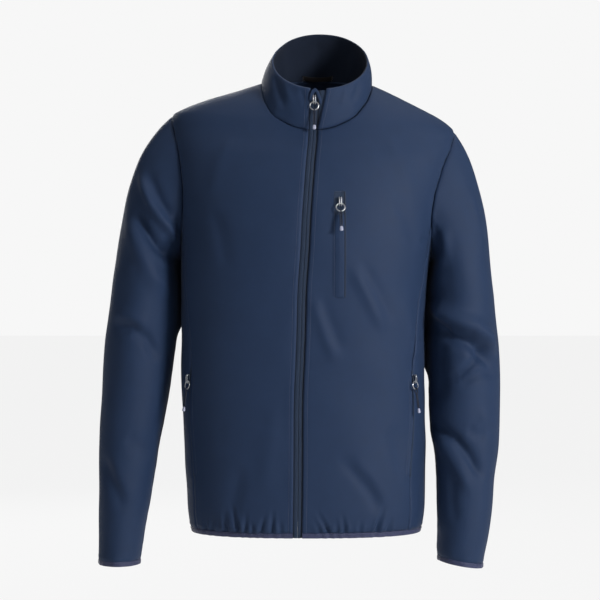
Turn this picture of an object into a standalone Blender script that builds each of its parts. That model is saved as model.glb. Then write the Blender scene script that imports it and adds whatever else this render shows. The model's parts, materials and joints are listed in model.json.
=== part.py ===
# Softshell jacket in its worn form, built from the pieces that are cut and sewn.
# The wearer faces -Y and +Z is up. Tables are in millimetres and degrees; meshes are in metres.
# The origin is the middle of the neck base, where the wearer carries the jacket.
import math

import bmesh
import bpy
import numpy as np
from mathutils import Matrix, Vector
from mathutils.bvhtree import BVHTree

MM = 0.001
WALL = 1.8            # softshell cloth
COLLAR_WALL = 1.2     # each of the two collar layers
SEAM_GAP = 0.3        # between neighbouring pieces
LAY_GAP = 0.5         # under a strip that lies on a panel
BINDING_HEIGHT = 7.0
BINDING_WALL = 2.6
ZIP_HALF_GAP = 7.0    # from the zip's middle to each front's folded edge
ZIP_OVERLAP = 6.0     # tape hidden behind each front
TAPE_WALL = 0.9
GARAGE_WALL = 1.4

HEM_Z = -653.0
UNDERARM_Z = -238.0
SLEEVE_TOP_Z = -280.0  # below this the sleeve is a plain tube
CUFF_Z = -700.0
SHOULDER_TILT = 0.09   # the wearer's left shoulder hangs lower
COLLAR_MID_X = 4.0

# grid steps
NECK_FRONT_STEPS = 12
NECK_BACK_STEPS = 12
SHOULDER_STEPS = 6
LOWER_STEPS = 15
ARM_FRONT_STEPS = 8
ARM_UNDER_STEPS = 4
ARM_BACK_STEPS = 10
UNDER_STEPS = 3
SLEEVE_HEAD_STEPS = 6
SLEEVE_TUBE_STEPS = 13
COLLAR_STEPS = 3
SPREAD = 1.5           # millimetres across a panel per degree, added to its front-view x
HALVINGS = 24          # halvings of an interval when a spread is turned back into an angle

# shape of the torso and how it is read
DEGREE_WIDTH = 3.3     # millimetres counted for a degree round the torso
TILT_NECK = 80.0       # half width round the neck that the tilted shoulder leaves level
TILT_EASE = 30.0
TILT_FOOT_Z = -300.0
TILT_RISE = 200.0      # height over which the tilt grows in
FRONT_ANGLE = 90.0     # from the zip to the top of a shoulder
TORSO_STEP = (0.4, 1.5)  # degrees and millimetres of the differences that give its normals
BODY_STEP = (0.8, 3.0)
FACING_SHARPNESS = 1.6  # how soon a fold dies out round the side
GATHER_FADE = 1.5
ZIP_CLIMB = (1.45, 0.45)  # row spacing up the zip above the side seam
SMOOTH_ANGLE = 50

# sleeves, bindings, collar and tape
CUFF_SLOPE_FROM = 300  # below the sleeve's top
CUFF_SLOPE_OVER = 100
RUN_STEP = 10
FOLD_IN_ROWS = 2.0     # rows below the armhole over which sleeve folds grow in
BINDING_STAND = 0.4    # how far a binding stands out from the cloth above it
HEM_TUCK = 1.2
HEM_MIDDLE = (-12.0, 0, 0)
COLLAR_BOW = 2.5
TAPE_COLLAR_ROWS = (0, 1, 2, 2.85)
TAPE_FOOT = 1          # the tapes end this far above the hem
RAY_START = 20

# torso sections: z, middle x, half width, front depth, back depth, squareness
TORSO = np.array([
    (-660, -12.0, 170.0, 111, 103, 2.4),
    (-653, -12.0, 172.0, 113, 105, 2.4),
    (-640, -12.0, 176.5, 117, 108, 2.4),
    (-610, -12.2, 180.0, 120, 110, 2.4),
    (-532, -13.6, 182.4, 122, 108, 2.4),
    (-416, -16.8, 184.0, 127, 109, 2.4),
    (-304, -16.4, 185.6, 134, 121, 2.4),
    (-228, -12.5, 189.5, 136, 129, 2.4),
    (-184, -11.0, 195.0, 132, 132, 2.4),
    (-146, -9.0, 202.0, 126, 132, 2.3),
    (-92, -5.0, 213.0, 109, 125, 2.15),
    (-66, -2.5, 217.5, 95, 119, 2.05),
    (-50, -2.0, 217.5, 87, 115, 2.0),
    (-36, -1.0, 212.5, 80, 111, 2.0),
    (-24, 0.0, 196.5, 73, 107, 2.0),
    (-12, 1.0, 172.0, 66, 103, 2.0),
    (0, 2.5, 143.0, 58, 98, 2.0),
    (12, 3.5, 112.0, 49, 92, 2.0),
    (23.5, 4.0, 83.0, 40, 86, 2.0),
    (36, 4.0, 66.0, 32, 78, 2.0),
    (44, 4.0, 56.0, 28, 74, 2.0),
])

# how far the jacket is turned on its figure: z, degrees
TURN = np.array([(-660, -4.4), (-507, -3.0), (-347, -0.9), (-200, -0.3), (-124, 0.0), (44, 0.0)])

# seams on the torso as angle from the zip and height
NECK_FRONT = np.array([
    (0.0, -53.0), (7.4, -48.6), (12.1, -41.0), (16.7, -32.0), (20.6, -22.0),
    (28.0, -8.0), (38.5, 5.0), (52.0, 14.5), (70.0, 20.5), (90.0, 23.5)])
NECK_BACK = np.array([(90.0, 23.5), (112.0, 28.0), (135.0, 32.0), (158.0, 35.0), (180.0, 36.0)])
SIDE_SEAM = np.array([
    (59.5, -653.0), (58.5, -600.0), (58.0, -560.0), (60.5, -477.0), (58.5, -400.0),
    (63.5, -315.0), (69.5, -250.0), (68.5, -190.0)])
ARM_FRONT = np.array([
    (90.0, -36.0), (82.0, -44.0), (75.0, -58.0), (69.0, -80.0), (66.0, -105.0),
    (64.5, -140.0), (65.5, -170.0), (68.5, -190.0)])
ARM_UNDER = np.array([(68.5, -190.0), (73.0, -210.0), (79.0, -225.0), (86.0, -235.0), (92.0, -238.0)])
ARM_BACK = np.array([
    (92.0, -238.0), (101.0, -231.0), (107.5, -213.0), (112.0, -180.0), (114.0, -140.0),
    (112.0, -100.0), (107.0, -70.0), (99.0, -48.0), (90.0, -36.0)])

# sleeve tubes: z, middle x, middle y, half width, half depth; the first name is the image's side
SLEEVE_RIGHT = np.array([
    (-280, -256.5, 4, 49.5, 73), (-330, -259.8, 3, 52.8, 70), (-368, -263.7, 2, 53.6, 68),
    (-441, -270.6, -2, 51.7, 62), (-532, -279.5, -12, 45.2, 55), (-608, -286.0, -22, 38.0, 49),
    (-684, -292.0, -31, 32.0, 43.5), (-700, -293.0, -33, 31.0, 43)])
SLEEVE_LEFT = np.array([
    (-280, 223.2, 4, 48.6, 71), (-304, 225.0, 3, 50.2, 70), (-368, 227.0, 2, 53.0, 68),
    (-441, 228.6, 0, 54.2, 64), (-501, 228.2, -6, 52.8, 58), (-532, 229.5, -10, 49.4, 55),
    (-575, 228.0, -16, 44.0, 51), (-608, 227.0, -20, 41.6, 48), (-654, 224.0, -25, 37.6, 45),
    (-684, 220.5, -29, 35.0, 42.5), (-700, 219.0, -31, 34.0, 42)])

# per side: sign of x, tube table, sleeve direction at the shoulder, cuff slope
SIDES = {
    "right": dict(sign=-1, tube=SLEEVE_RIGHT, lean=(0.80, -0.60), cuff_slope=0.0),
    "left": dict(sign=1, tube=SLEEVE_LEFT, lean=(0.62, -0.78), cuff_slope=-0.17),
}

# folds as seen from the front or the back: x0, z0, x1, z1, height, half width, face (-1 front, 1 back)
BODY_FOLDS = np.array([
    (56, -264, 76, -300, 2.4, 10, -1), (76, -300, 104, -350, 2.0, 12, -1),
    (4, -312, 12, -350, 1.8, 11, -1), (12, -350, 32, -392, 1.6, 12, -1),
    (40, -545, 76, -580, -2.0, 12, -1), (76, -580, 98, -615, -1.8, 12, -1),
    (118, -500, 128, -560, -1.6, 13, -1),
    (-110, -560, -122, -610, -1.6, 13, -1), (-60, -470, -70, -560, 1.4, 16, -1),
    (-150, -120, -120, -200, 2.2, 18, 1), (140, -120, 110, -210, 2.4, 18, 1),
    (-120, -400, -40, -430, -2.4, 16, 1), (20, -425, 110, -405, -2.2, 15, 1),
    (-70, -460, 30, -475, 2.0, 16, 1), (60, -560, 80, -630, 2.0, 14, 1),
    (-80, -540, -95, -625, 2.0, 14, 1)], dtype=float)
RIGHT_SLEEVE_FOLDS = np.array([
    (-258, -123, -244, -160, 6.0, 10, -1), (-244, -160, -226, -188, 7.0, 10, -1),
    (-226, -188, -207, -212, 7.0, 10, -1),
    (-268, -178, -252, -198, -5.0, 10, -1), (-252, -198, -234, -220, -6.0, 10, -1),
    (-234, -220, -215, -240, -6.0, 10, -1),
    (-252, -119, -234, -155, -4.0, 9, -1), (-234, -155, -218, -178, -4.0, 9, -1),
    (-272, -192, -262, -220, 4.0, 13, -1), (-262, -220, -244, -260, 5.0, 14, -1),
    (-244, -260, -221, -290, 5.0, 14, -1),
    (-294, -343, -267, -348, -2.5, 10, -1), (-267, -348, -248, -362, -4.0, 11, -1),
    (-248, -362, -232, -387, -3.5, 11, -1),
    (-314, -548, -300, -578, -2.5, 11, -1), (-300, -578, -283, -610, -2.5, 11, -1),
    (-270, -130, -225, -190, 5.0, 13, 1), (-265, -215, -225, -250, -5.0, 12, 1),
    (-300, -330, -240, -350, -5.0, 12, 1), (-305, -385, -245, -372, -4.5, 12, 1),
    (-290, -450, -250, -430, -3.5, 12, 1)], dtype=float)
LEFT_SLEEVE_FOLDS = np.array([
    (176, -311, 189, -325, 5.0, 12, -1), (189, -325, 211, -335, 7.0, 12, -1),
    (211, -335, 237, -345, 7.0, 12, -1), (237, -345, 256, -359, 6.0, 12, -1),
    (256, -359, 268, -377, 4.0, 11, -1),
    (184, -344, 202, -357, -6.0, 10, -1), (202, -357, 231, -367, -7.0, 10, -1),
    (231, -367, 254, -382, -6.0, 10, -1), (254, -382, 267, -400, -4.0, 9, -1),
    (199, -422, 216, -417, -3.5, 9, -1), (216, -417, 243, -392, -4.5, 9, -1),
    (224, -425, 243, -414, -3.0, 8, -1), (243, -414, 270, -413, -3.0, 8, -1),
    (184, -375, 187, -450, -4.0, 12, -1),
    (178, -490, 208, -512, -5.0, 11, -1), (208, -512, 231, -539, -6.0, 10, -1),
    (231, -539, 245, -560, -4.0, 10, -1),
    (187, -515, 212, -550, 3.5, 11, -1), (212, -550, 230, -585, 3.5, 11, -1),
    (192, -204, 195, -237, 2.5, 9, -1), (195, -237, 183, -261, 2.5, 9, -1),
    (183, -261, 187, -283, 2.5, 9, -1),
    (237, -148, 252, -225, 1.5, 11, -1),
    (240, -130, 200, -185, 4.0, 13, 1), (245, -215, 200, -255, -5.0, 12, 1),
    (270, -335, 200, -350, -6.0, 12, 1), (268, -395, 205, -380, -5.0, 12, 1),
    (262, -500, 200, -520, -4.0, 12, 1)], dtype=float)

# creases gathered into the hem binding: x at the binding, x at the upper end, length, depth, face
HEM_GATHERS = np.array([
    (-161, -160, 18, 1.5, -1), (-151, -151, 20, 1.4, -1), (-129, -134, 32, 2.0, -1),
    (-111, -124, 46, 2.4, -1), (-101, -100, 34, 1.8, -1), (-89, -96, 22, 1.5, -1),
    (-79, -73, 30, 2.0, -1), (-62, -61, 38, 2.0, -1), (-49, -51, 20, 1.4, -1),
    (22, 0, 38, 2.2, -1), (10, -2, 22, 1.4, -1), (33, 33, 20, 1.2, -1),
    (45, 40, 30, 2.0, -1), (90, 105, 42, 2.4, -1), (107, 116, 24, 1.6, -1), (66, 68, 20, 1.2, -1),
    (-150, -154, 24, 1.8, 1), (-118, -112, 34, 2.2, 1), (-88, -92, 26, 1.8, 1),
    (-52, -46, 40, 2.4, 1), (-14, -18, 24, 1.6, 1), (22, 26, 34, 2.2, 1),
    (58, 52, 28, 1.8, 1), (94, 99, 38, 2.4, 1), (130, 126, 24, 1.8, 1)], dtype=float)
GATHER_HALF_WIDTH = 5.5

# collar rim, an ellipse in a plane that tips forward
RIM_MIDDLE = (9.5, -25.0, 57.0)
RIM_HALF_WIDTH = 72.0
RIM_HALF_DEPTH = 70.0
RIM_HALF_RISE = 49.5
RIM_FRONT_LEFT_X = 18.4
RIM_FRONT_RIGHT_X = -6.6
ZIP_TOP_X = 0.4

CHEST_POCKET = dict(x0=27.4, x1=46.6, z0=-301.0, z1=-144.0, welt_x1=43.0, welt_z1=-180.0,
                    rows=19, tape_columns=5, welt_columns=4)
HAND_POCKET = dict(z0=-566.0, z1=-408.0, tape=5.0, welt=10.0, gap=1.2, welt_short=8, rows=11)
STRIP_WALL = 0.8
WELT_WALL = 1.0

PULL_RING = dict(radius=6.2, wire=0.8, segments=20, wire_segments=6)
SLIDER = dict(width=6.4, length=13.0, plate=1.8, arch=2.0, arch_rise=4.6, arch_leg=1.3, arch_span=11.5,
              plate_bevel=0.5, arch_root=0.6, arch_corner=1.2)
RING_SEAT = -3.0       # the ring hangs this far below the slider's middle, inside the arch
CORD_RADIUS = 0.9
CORD = dict(strand=1.3, drawn_in=0.02, bend_high=2.5, bend_low=6.5, top_steps=7, foot_steps=6)
TIP = dict(length=7.5, width=4.6, thick=3.0, bevel=0.9)

# outline of the bound strip over the zip's top end: x and z round it
GARAGE = [(-6.9, -10), (-6.5, -3), (-3.9, 4.0), (0.8, 7.0), (5.2, 3.4), (9.0, -5.5), (11.4, -14.5),
          (8.4, -15.0), (6.0, -7.4), (2.8, 0.2), (0.8, 2.4), (-1.6, -0.4), (-3.4, -5), (-4.3, -10)]
HANGER = dict(x0=-17, x1=30, points=9, bow=3.0, behind=30, off=2.6, lift=2, lean=-2.4, height=6.0, wall=1.2)

# zip pulls: height of the slider's middle, length of the cord loop, tilt of the hanging puller
PULLS = {
    "main": dict(z=-8.8, cord=21.0, tilt=9.0),
    "chest": dict(z=-161.0, cord=22.0, tilt=11.0),
    "hand_left": dict(z=-421.0, cord=27.0, tilt=11.0),
    "hand_right": dict(z=-421.0, cord=25.0, tilt=11.0),
}


def clear_scene():
    for obj in list(bpy.data.objects):
        bpy.data.objects.remove(obj, do_unlink=True)


def smooth_table(xs, ys, x):
    """Monotone cubic through the rows of a table; ys may have several columns."""
    xs = np.asarray(xs, float)
    ys = np.asarray(ys, float).reshape(len(xs), -1)
    steps = np.diff(xs)[:, None]
    slopes = np.diff(ys, axis=0) / steps
    tangents = np.zeros_like(ys)
    tangents[0], tangents[-1] = slopes[0], slopes[-1]
    same = slopes[:-1] * slopes[1:] > 0
    total = np.where(same, slopes[:-1] + slopes[1:], 1.0)
    tangents[1:-1] = np.where(same, 2 * slopes[:-1] * slopes[1:] / total, 0.0)
    x = np.asarray(x, float)
    flat = np.clip(x.ravel(), xs[0], xs[-1])
    k = np.clip(np.searchsorted(xs, flat) - 1, 0, len(xs) - 2)
    h = steps[k]
    t = ((flat - xs[k]) / steps[k, 0])[:, None]
    value = ((2 * t**3 - 3 * t**2 + 1) * ys[k] + (t**3 - 2 * t**2 + t) * h * tangents[k]
             + (3 * t**2 - 2 * t**3) * ys[k + 1] + (t**3 - t**2) * h * tangents[k + 1])
    return value.reshape(x.shape + (ys.shape[1],))


def seam_points(table, steps, scale=DEGREE_WIDTH):
    """Even steps along a seam given as angle and height; scale turns degrees into millimetres."""
    flat = table * (scale, 1.0)
    along = np.concatenate(([0], np.cumsum(np.linalg.norm(np.diff(flat, axis=0), axis=1))))
    return smooth_table(along, table, np.linspace(0, along[-1], steps + 1))


def torso(angle, z):
    """Point of the smooth torso at an angle from the zip and a height."""
    row = smooth_table(TORSO[:, 0], TORSO[:, 1:], z)
    mid, half, front, back, square = np.moveaxis(row, -1, 0)
    turned = np.radians(angle + smooth_table(TURN[:, 0], TURN[:, 1:], z)[..., 0])
    s, c = np.sin(turned), np.cos(turned)
    reach = (np.abs(s)**square + np.abs(c)**square) ** (-1 / square)
    x = mid + half * reach * s
    y = -np.where(c > 0, front, back) * reach * c
    past_neck = np.abs(x - COLLAR_MID_X) - TILT_NECK
    beyond = (past_neck + np.hypot(past_neck, TILT_EASE)) / 2
    ramp = np.clip((z - TILT_FOOT_Z) / TILT_RISE, 0, 1)
    drop = SHOULDER_TILT * np.sign(x) * beyond * ramp * ramp * (3 - 2 * ramp)
    return np.stack([x, y, z - drop], axis=-1)


def normals(surface, a, b, da, db):
    """Unit normals of a surface of two parameters, from central differences."""
    across = surface(a + da, b) - surface(a - da, b)
    along = surface(a, b + db) - surface(a, b - db)
    n = np.cross(across, along)
    return n / np.linalg.norm(n, axis=-1, keepdims=True)


def fold_heights(points, facing, folds):
    """Sum of soft ridges and troughs; each is a segment in the front view with round ends."""
    height = np.zeros(points.shape[:-1])
    for x0, z0, x1, z1, rise, half_width, face in folds:
        dx, dz = x1 - x0, z1 - z0
        px, pz = points[..., 0] - x0, points[..., 2] - z0
        t = np.clip((px * dx + pz * dz) / (dx * dx + dz * dz), 0, 1)
        distance = np.hypot(px - t * dx, pz - t * dz)
        shown = np.clip(face * facing[..., 1] * FACING_SHARPNESS, 0, 1)
        height += rise * np.exp(-(distance / half_width) ** 2) * shown
    return height


def gather_heights(points, facing):
    """Creases that run up from the hem binding and fade out."""
    height = np.zeros(points.shape[:-1])
    for x_low, x_high, length, depth, face in HEM_GATHERS:
        up = (points[..., 2] - HEM_Z - BINDING_HEIGHT) / length
        x = x_low + (x_high - x_low) * np.clip(up, 0, 1)
        fade = np.clip(1 - up, 0, 1) ** GATHER_FADE
        shown = np.clip(face * facing[..., 1] * FACING_SHARPNESS, 0, 1)
        height -= depth * fade * np.exp(-((points[..., 0] - x) / GATHER_HALF_WIDTH) ** 2) * shown
    return height


def body(angle, z):
    """The torso's cloth: the smooth torso with its folds and hem gathers."""
    base = torso(angle, z)
    out = normals(torso, angle, z, *TORSO_STEP)
    rise = fold_heights(base, out, BODY_FOLDS) + gather_heights(base, out)
    return base + rise[..., None] * out


def body_normals(angle, z):
    return normals(body, angle, z, *BODY_STEP)


def angle_at(x, z):
    """Angle at which the torso's front has a given x: the superellipse turned round."""
    row = smooth_table(TORSO[:, 0], TORSO[:, 1:], z)
    mid, half, square = row[..., 0], row[..., 1], row[..., 4]
    across = (x - mid) / half
    ahead = (1 - np.abs(across) ** square) ** (1 / square)
    return np.degrees(np.arctan2(across, ahead)) - smooth_table(TURN[:, 0], TURN[:, 1:], z)[..., 0]


def spread_at(angle, z, face):
    """Distance across a panel, part front-view x and part angle, for the front (-1) or the back (1)."""
    return -face * torso(angle, z)[..., 0] + SPREAD * angle


def blend_patch(bottom, top, left, right):
    """Grid between four edges: rows run from bottom to top and columns from left to right."""
    u = np.linspace(0, 1, len(bottom))[None, :, None]
    v = np.linspace(0, 1, len(left))[:, None, None]
    edges = (1 - v) * bottom[None] + v * top[None] + (1 - u) * left[:, None] + u * right[:, None]
    corners = ((1 - u) * (1 - v) * bottom[0] + u * (1 - v) * bottom[-1]
               + (1 - u) * v * top[0] + u * v * top[-1])
    return edges - corners


def blend_on_torso(bottom, top, left, right, face):
    """The same grid for edges given as angle and height, blended as spread and height."""
    edges = (bottom, top, left, right)
    flat = [np.stack([spread_at(edge[:, 0], edge[:, 1], face), edge[:, 1]], axis=-1) for edge in edges]
    spread, z = np.moveaxis(blend_patch(*flat), -1, 0)
    low = np.full(z.shape, FRONT_ANGLE * face)
    high = low + 2 * FRONT_ANGLE
    for _ in range(HALVINGS):
        angle = (low + high) / 2
        short = spread_at(angle, z, face) < spread
        low = np.where(short, angle, low)
        high = np.where(short, high, angle)
    grid = np.stack([angle, z], axis=-1)
    grid[0], grid[-1], grid[:, 0], grid[:, -1] = edges
    return grid


def grid_faces(rows, cols, start=0, wrap=False):
    faces = []
    for r in range(rows - 1):
        for c in range(cols if wrap else cols - 1):
            d = (c + 1) % cols
            faces.append((start + r * cols + c, start + r * cols + d,
                          start + (r + 1) * cols + d, start + (r + 1) * cols + c))
    return faces


def material(name, color, roughness, metallic=0.0):
    mat = bpy.data.materials.new(name)
    mat.use_nodes = True
    shader = mat.node_tree.nodes["Principled BSDF"]
    shader.inputs["Base Color"].default_value = (*color, 1.0)
    shader.inputs["Roughness"].default_value = roughness
    shader.inputs["Metallic"].default_value = metallic
    mat.diffuse_color = (*color, 1.0)
    return mat


def new_object(name, mesh, mat, collection):
    mesh.materials.append(mat)
    obj = bpy.data.objects.new(name, mesh)
    collection.objects.link(obj)
    return obj


def cloth_wall(name, outer, inner, faces, mat, collection):
    """Closed wall between two sheets of points; equal points are joined and free edges get a rim."""
    outer = np.asarray(outer).reshape(-1, 3)
    inner = np.asarray(inner).reshape(-1, 3)
    first, index = {}, []
    for i, key in enumerate(map(tuple, np.round(outer, 3))):
        index.append(first.setdefault(key, i))
    kept = sorted(set(index))
    new = {old: k for k, old in enumerate(kept)}
    count = len(kept)
    sheet = []
    for face in faces:
        loop = []
        for corner in face:
            k = new[index[corner]]
            if k not in loop:
                loop.append(k)
        sheet += [(loop[0], loop[k], loop[k + 1]) for k in range(1, len(loop) - 1)]
    used = {}
    for loop in sheet:
        for a, b in zip(loop, loop[1:] + loop[:1]):
            used.setdefault((min(a, b), max(a, b)), []).append((a, b))
    rims = [pair[0] for pair in used.values() if len(pair) == 1]
    points = np.concatenate([outer[kept], inner[kept]]) * MM
    walls = sheet + [[k + count for k in reversed(loop)] for loop in sheet]
    for a, b in rims:
        walls += [(b, a, a + count), (b, a + count, b + count)]
    mesh = bpy.data.meshes.new(name)
    mesh.from_pydata(points.tolist(), [], walls)
    bm = bmesh.new()
    bm.from_mesh(mesh)
    bmesh.ops.recalc_face_normals(bm, faces=bm.faces)
    bm.to_mesh(mesh)
    bm.free()
    mesh.shade_smooth()
    mesh.set_sharp_from_angle(angle=math.radians(SMOOTH_ANGLE))
    return new_object(name, mesh, mat, collection)


def mirrored(points, sign):
    return points * (sign, 1.0)


def edge_angle(z, offset):
    """Angle of a line that runs beside the zip, offset millimetres from it."""
    half = smooth_table(TORSO[:, 0], TORSO[:, 2:3], z)[..., 0]
    return np.degrees(offset / half)


def side_seam_points():
    """Side seam from the hem band to the armhole, with rows that the front and the back share."""
    lower = np.linspace(HEM_Z + BINDING_HEIGHT, UNDERARM_Z, LOWER_STEPS + 1)
    upper = np.linspace(UNDERARM_Z, SIDE_SEAM[-1, 1], ARM_UNDER_STEPS + 1)[1:]
    z = np.concatenate([lower, upper])
    return np.stack([smooth_table(SIDE_SEAM[:, 1], SIDE_SEAM[:, 0], z)[..., 0], z], axis=-1)


def front_grid(sign):
    """Angle and height of a front's points, from its zip edge to its side seam and armhole."""
    seam = side_seam_points()
    side = np.concatenate([seam, seam_points(ARM_FRONT[::-1], ARM_FRONT_STEPS)[1:]])
    bottom_z = HEM_Z + BINDING_HEIGHT
    neck = seam_points(NECK_FRONT, NECK_FRONT_STEPS)
    neck[0, 0] = edge_angle(neck[0, 1], ZIP_HALF_GAP)
    shoulder_z = np.linspace(NECK_FRONT[-1, 1], ARM_FRONT[0, 1], SHOULDER_STEPS + 1)
    shoulder = np.stack([np.full(SHOULDER_STEPS + 1, FRONT_ANGLE), shoulder_z], axis=-1)
    top = np.concatenate([neck, shoulder[1:]])
    climb = np.linspace(0, 1, ARM_FRONT_STEPS + 1)[1:]
    climb = climb * (ZIP_CLIMB[0] - ZIP_CLIMB[1] * climb)
    upper = seam[-1, 1] + (neck[0, 1] - seam[-1, 1]) * climb
    zip_z = np.concatenate([seam[:, 1], upper])
    zip_edge = np.stack([edge_angle(zip_z, ZIP_HALF_GAP), zip_z], axis=-1)
    hem_angle = np.linspace(zip_edge[0, 0], side[0, 0], len(top))
    hem = np.stack([hem_angle, np.full(len(top), bottom_z)], axis=-1)
    return mirrored(blend_on_torso(hem, top, zip_edge, side, -1), sign)


def open_seams(grid, sign):
    """Move a front's side and shoulder edges off the back by one seam gap."""
    moved = grid.copy()
    seam_rows = LOWER_STEPS + ARM_UNDER_STEPS + 1
    for edge in (np.s_[:seam_rows, -1], np.s_[-1, NECK_FRONT_STEPS:]):
        angle, z = grid[edge][:, 0], grid[edge][:, 1]
        per_degree = np.linalg.norm(torso(angle + 0.5, z) - torso(angle - 0.5, z), axis=-1)
        moved[edge][:, 0] -= sign * SEAM_GAP / per_degree
    return moved


def build_front(name, sign, mat, collection):
    grid = open_seams(front_grid(sign), sign)
    outer = body(grid[..., 0], grid[..., 1])
    inner = outer - WALL * body_normals(grid[..., 0], grid[..., 1])
    faces = grid_faces(*grid.shape[:2])
    cloth_wall(name, outer, inner, faces, mat, collection)
    facets = [(a, b, c) for a, b, c, d in faces] + [(a, c, d) for a, b, c, d in faces]
    return BVHTree.FromPolygons(outer.reshape(-1, 3).tolist(), facets)


def back_patches():
    """The back's three kinds of patch as angle and height: lower wrap, upper back, underarm gores."""
    side = side_seam_points()
    seam_angle, rows = side[:LOWER_STEPS + 1].T
    start = seam_angle[-1]
    back_steps = 2 * SHOULDER_STEPS + NECK_BACK_STEPS
    under = ARM_UNDER[-1, 0]
    top = np.concatenate([np.linspace(start, under, UNDER_STEPS + 1),
                          np.linspace(under, 360 - under, back_steps + 1)[1:],
                          np.linspace(360 - under, 360 - start, UNDER_STEPS + 1)[1:]])
    v = np.linspace(0, 1, len(rows))[:, None]
    share = (top - start) / (360 - 2 * start)
    even = np.linspace(0, 1, len(top))
    part = even[None, :] * (1 - v) + share[None, :] * v
    angle = seam_angle[:, None] + part * (360 - 2 * seam_angle[:, None])
    lower = np.stack([angle, np.broadcast_to(rows[:, None], angle.shape)], axis=-1)

    arm = seam_points(ARM_BACK, ARM_BACK_STEPS)
    far_arm = np.stack([360 - arm[:, 0], arm[:, 1]], axis=-1)
    shoulder_z = np.linspace(ARM_BACK[-1, 1], NECK_BACK[0, 1], SHOULDER_STEPS + 1)
    shoulder = np.stack([np.full(SHOULDER_STEPS + 1, FRONT_ANGLE), shoulder_z], axis=-1)
    neck = seam_points(NECK_BACK, NECK_BACK_STEPS // 2)
    half = np.concatenate([shoulder, neck[1:]])
    other = np.stack([360 - half[::-1, 0], half[::-1, 1]], axis=-1)
    upper = blend_on_torso(lower[-1, UNDER_STEPS:-UNDER_STEPS], np.concatenate([half, other[1:]]),
                           arm, far_arm, 1)

    gore_arm = seam_points(ARM_UNDER, ARM_UNDER_STEPS)
    gore_seam = side[LOWER_STEPS:][::-1].copy()
    gore_seam[0] = gore_arm[0]
    u = np.linspace(0, 1, UNDER_STEPS + 1)[None, :, None]
    gore = gore_seam[:, None] * (1 - u) + gore_arm[:, None] * u
    far_gore = np.stack([360 - gore[..., 0], gore[..., 1]], axis=-1)
    return [lower, upper, gore, far_gore]


def build_back(mat, collection):
    outer, inner, faces, start = [], [], [], 0
    for patch in back_patches():
        points = body(patch[..., 0], patch[..., 1])
        out = body_normals(patch[..., 0], patch[..., 1])
        outer.append(points.reshape(-1, 3))
        inner.append((points - WALL * out).reshape(-1, 3))
        faces += grid_faces(*patch.shape[:2], start=start)
        start += points.shape[0] * points.shape[1]
    return cloth_wall("back", np.concatenate(outer), np.concatenate(inner), faces, mat, collection)


def armhole_ring(sign):
    """Angle and height round an armhole: from the shoulder down the front and up the back."""
    front = seam_points(ARM_FRONT[::-1], ARM_FRONT_STEPS)[::-1]
    under = seam_points(ARM_UNDER, ARM_UNDER_STEPS)
    back = seam_points(ARM_BACK, ARM_BACK_STEPS)
    ring = np.concatenate([front, under[1:], back[1:-1]])
    return mirrored(ring, sign)


def seam_start(edge, edge_out, away, piece_out, wall):
    """First row of a piece sewn to an edge: its outer points and its mitred inner points."""
    outer = edge + SEAM_GAP * away
    lean = edge_out + piece_out
    lean /= np.linalg.norm(lean, axis=-1, keepdims=True)
    towards = np.maximum(np.sum(lean * away, axis=-1, keepdims=True), 0)
    lean -= towards * away
    lean /= np.linalg.norm(lean, axis=-1, keepdims=True)
    return outer, outer - wall * lean


def away_from_panel(points, out, closed):
    """Unit direction across a seam, along the cloth and off the panel's edge."""
    if closed:
        run = np.roll(points, -1, axis=0) - np.roll(points, 1, axis=0)
    else:
        run = np.gradient(points, axis=0)
    away = np.cross(out, run)
    return away / np.linalg.norm(away, axis=-1, keepdims=True)


def sleeve_grid(side_name):
    """Smooth sleeve surface: Hermite lines from the armhole to the tube, then rings down to the cuff."""
    side = SIDES[side_name]
    sign = side["sign"]
    ring = armhole_ring(sign)
    armhole = body(ring[:, 0], ring[:, 1])
    arm_out = body_normals(ring[:, 0], ring[:, 1])
    away = away_from_panel(armhole, arm_out, closed=True)
    middle = armhole.mean(axis=0)
    if np.sum(away * (middle - armhole)) < 0:
        away = -away
    down = ARM_FRONT_STEPS + ARM_UNDER_STEPS
    phi = np.concatenate([np.linspace(0, math.pi, down + 1),
                          np.linspace(math.pi, 2 * math.pi, ARM_BACK_STEPS + 1)[1:-1]])
    bottom = CUFF_Z + BINDING_HEIGHT
    tube_z = np.linspace(SLEEVE_TOP_Z, bottom, SLEEVE_TUBE_STEPS + 1)

    def tube(z):
        row = smooth_table(-side["tube"][:, 0], side["tube"][:, 1:], -np.asarray(z, float))
        x, y, half_width, half_depth = np.moveaxis(row, -1, 0)
        slope = side["cuff_slope"] * np.clip((SLEEVE_TOP_Z - CUFF_SLOPE_FROM - z) / CUFF_SLOPE_OVER, 0, 1)
        across = half_width[..., None] * np.cos(phi)
        return np.stack([x[..., None] + sign * across, y[..., None] - half_depth[..., None] * np.sin(phi),
                         z[..., None] + across * slope[..., None]], axis=-1)

    rings = tube(tube_z)
    end = rings[0]
    end_run = unit3(tube(tube_z[:1] - RUN_STEP)[0] - end)
    start = armhole + SEAM_GAP * away
    lean = np.array([sign * side["lean"][0], 0.0, side["lean"][1]])
    chord = np.linalg.norm(end - start, axis=-1, keepdims=True)
    t = np.linspace(0, 1, SLEEVE_HEAD_STEPS + 1)[:-1, None, None]
    head = ((2 * t**3 - 3 * t**2 + 1) * start + (t**3 - 2 * t**2 + t) * chord * lean
            + (3 * t**2 - 2 * t**3) * end + (t**3 - t**2) * chord * end_run)
    return np.concatenate([head, rings]), armhole, arm_out, away


def unit3(v):
    return v / np.linalg.norm(v, axis=-1, keepdims=True)


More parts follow.
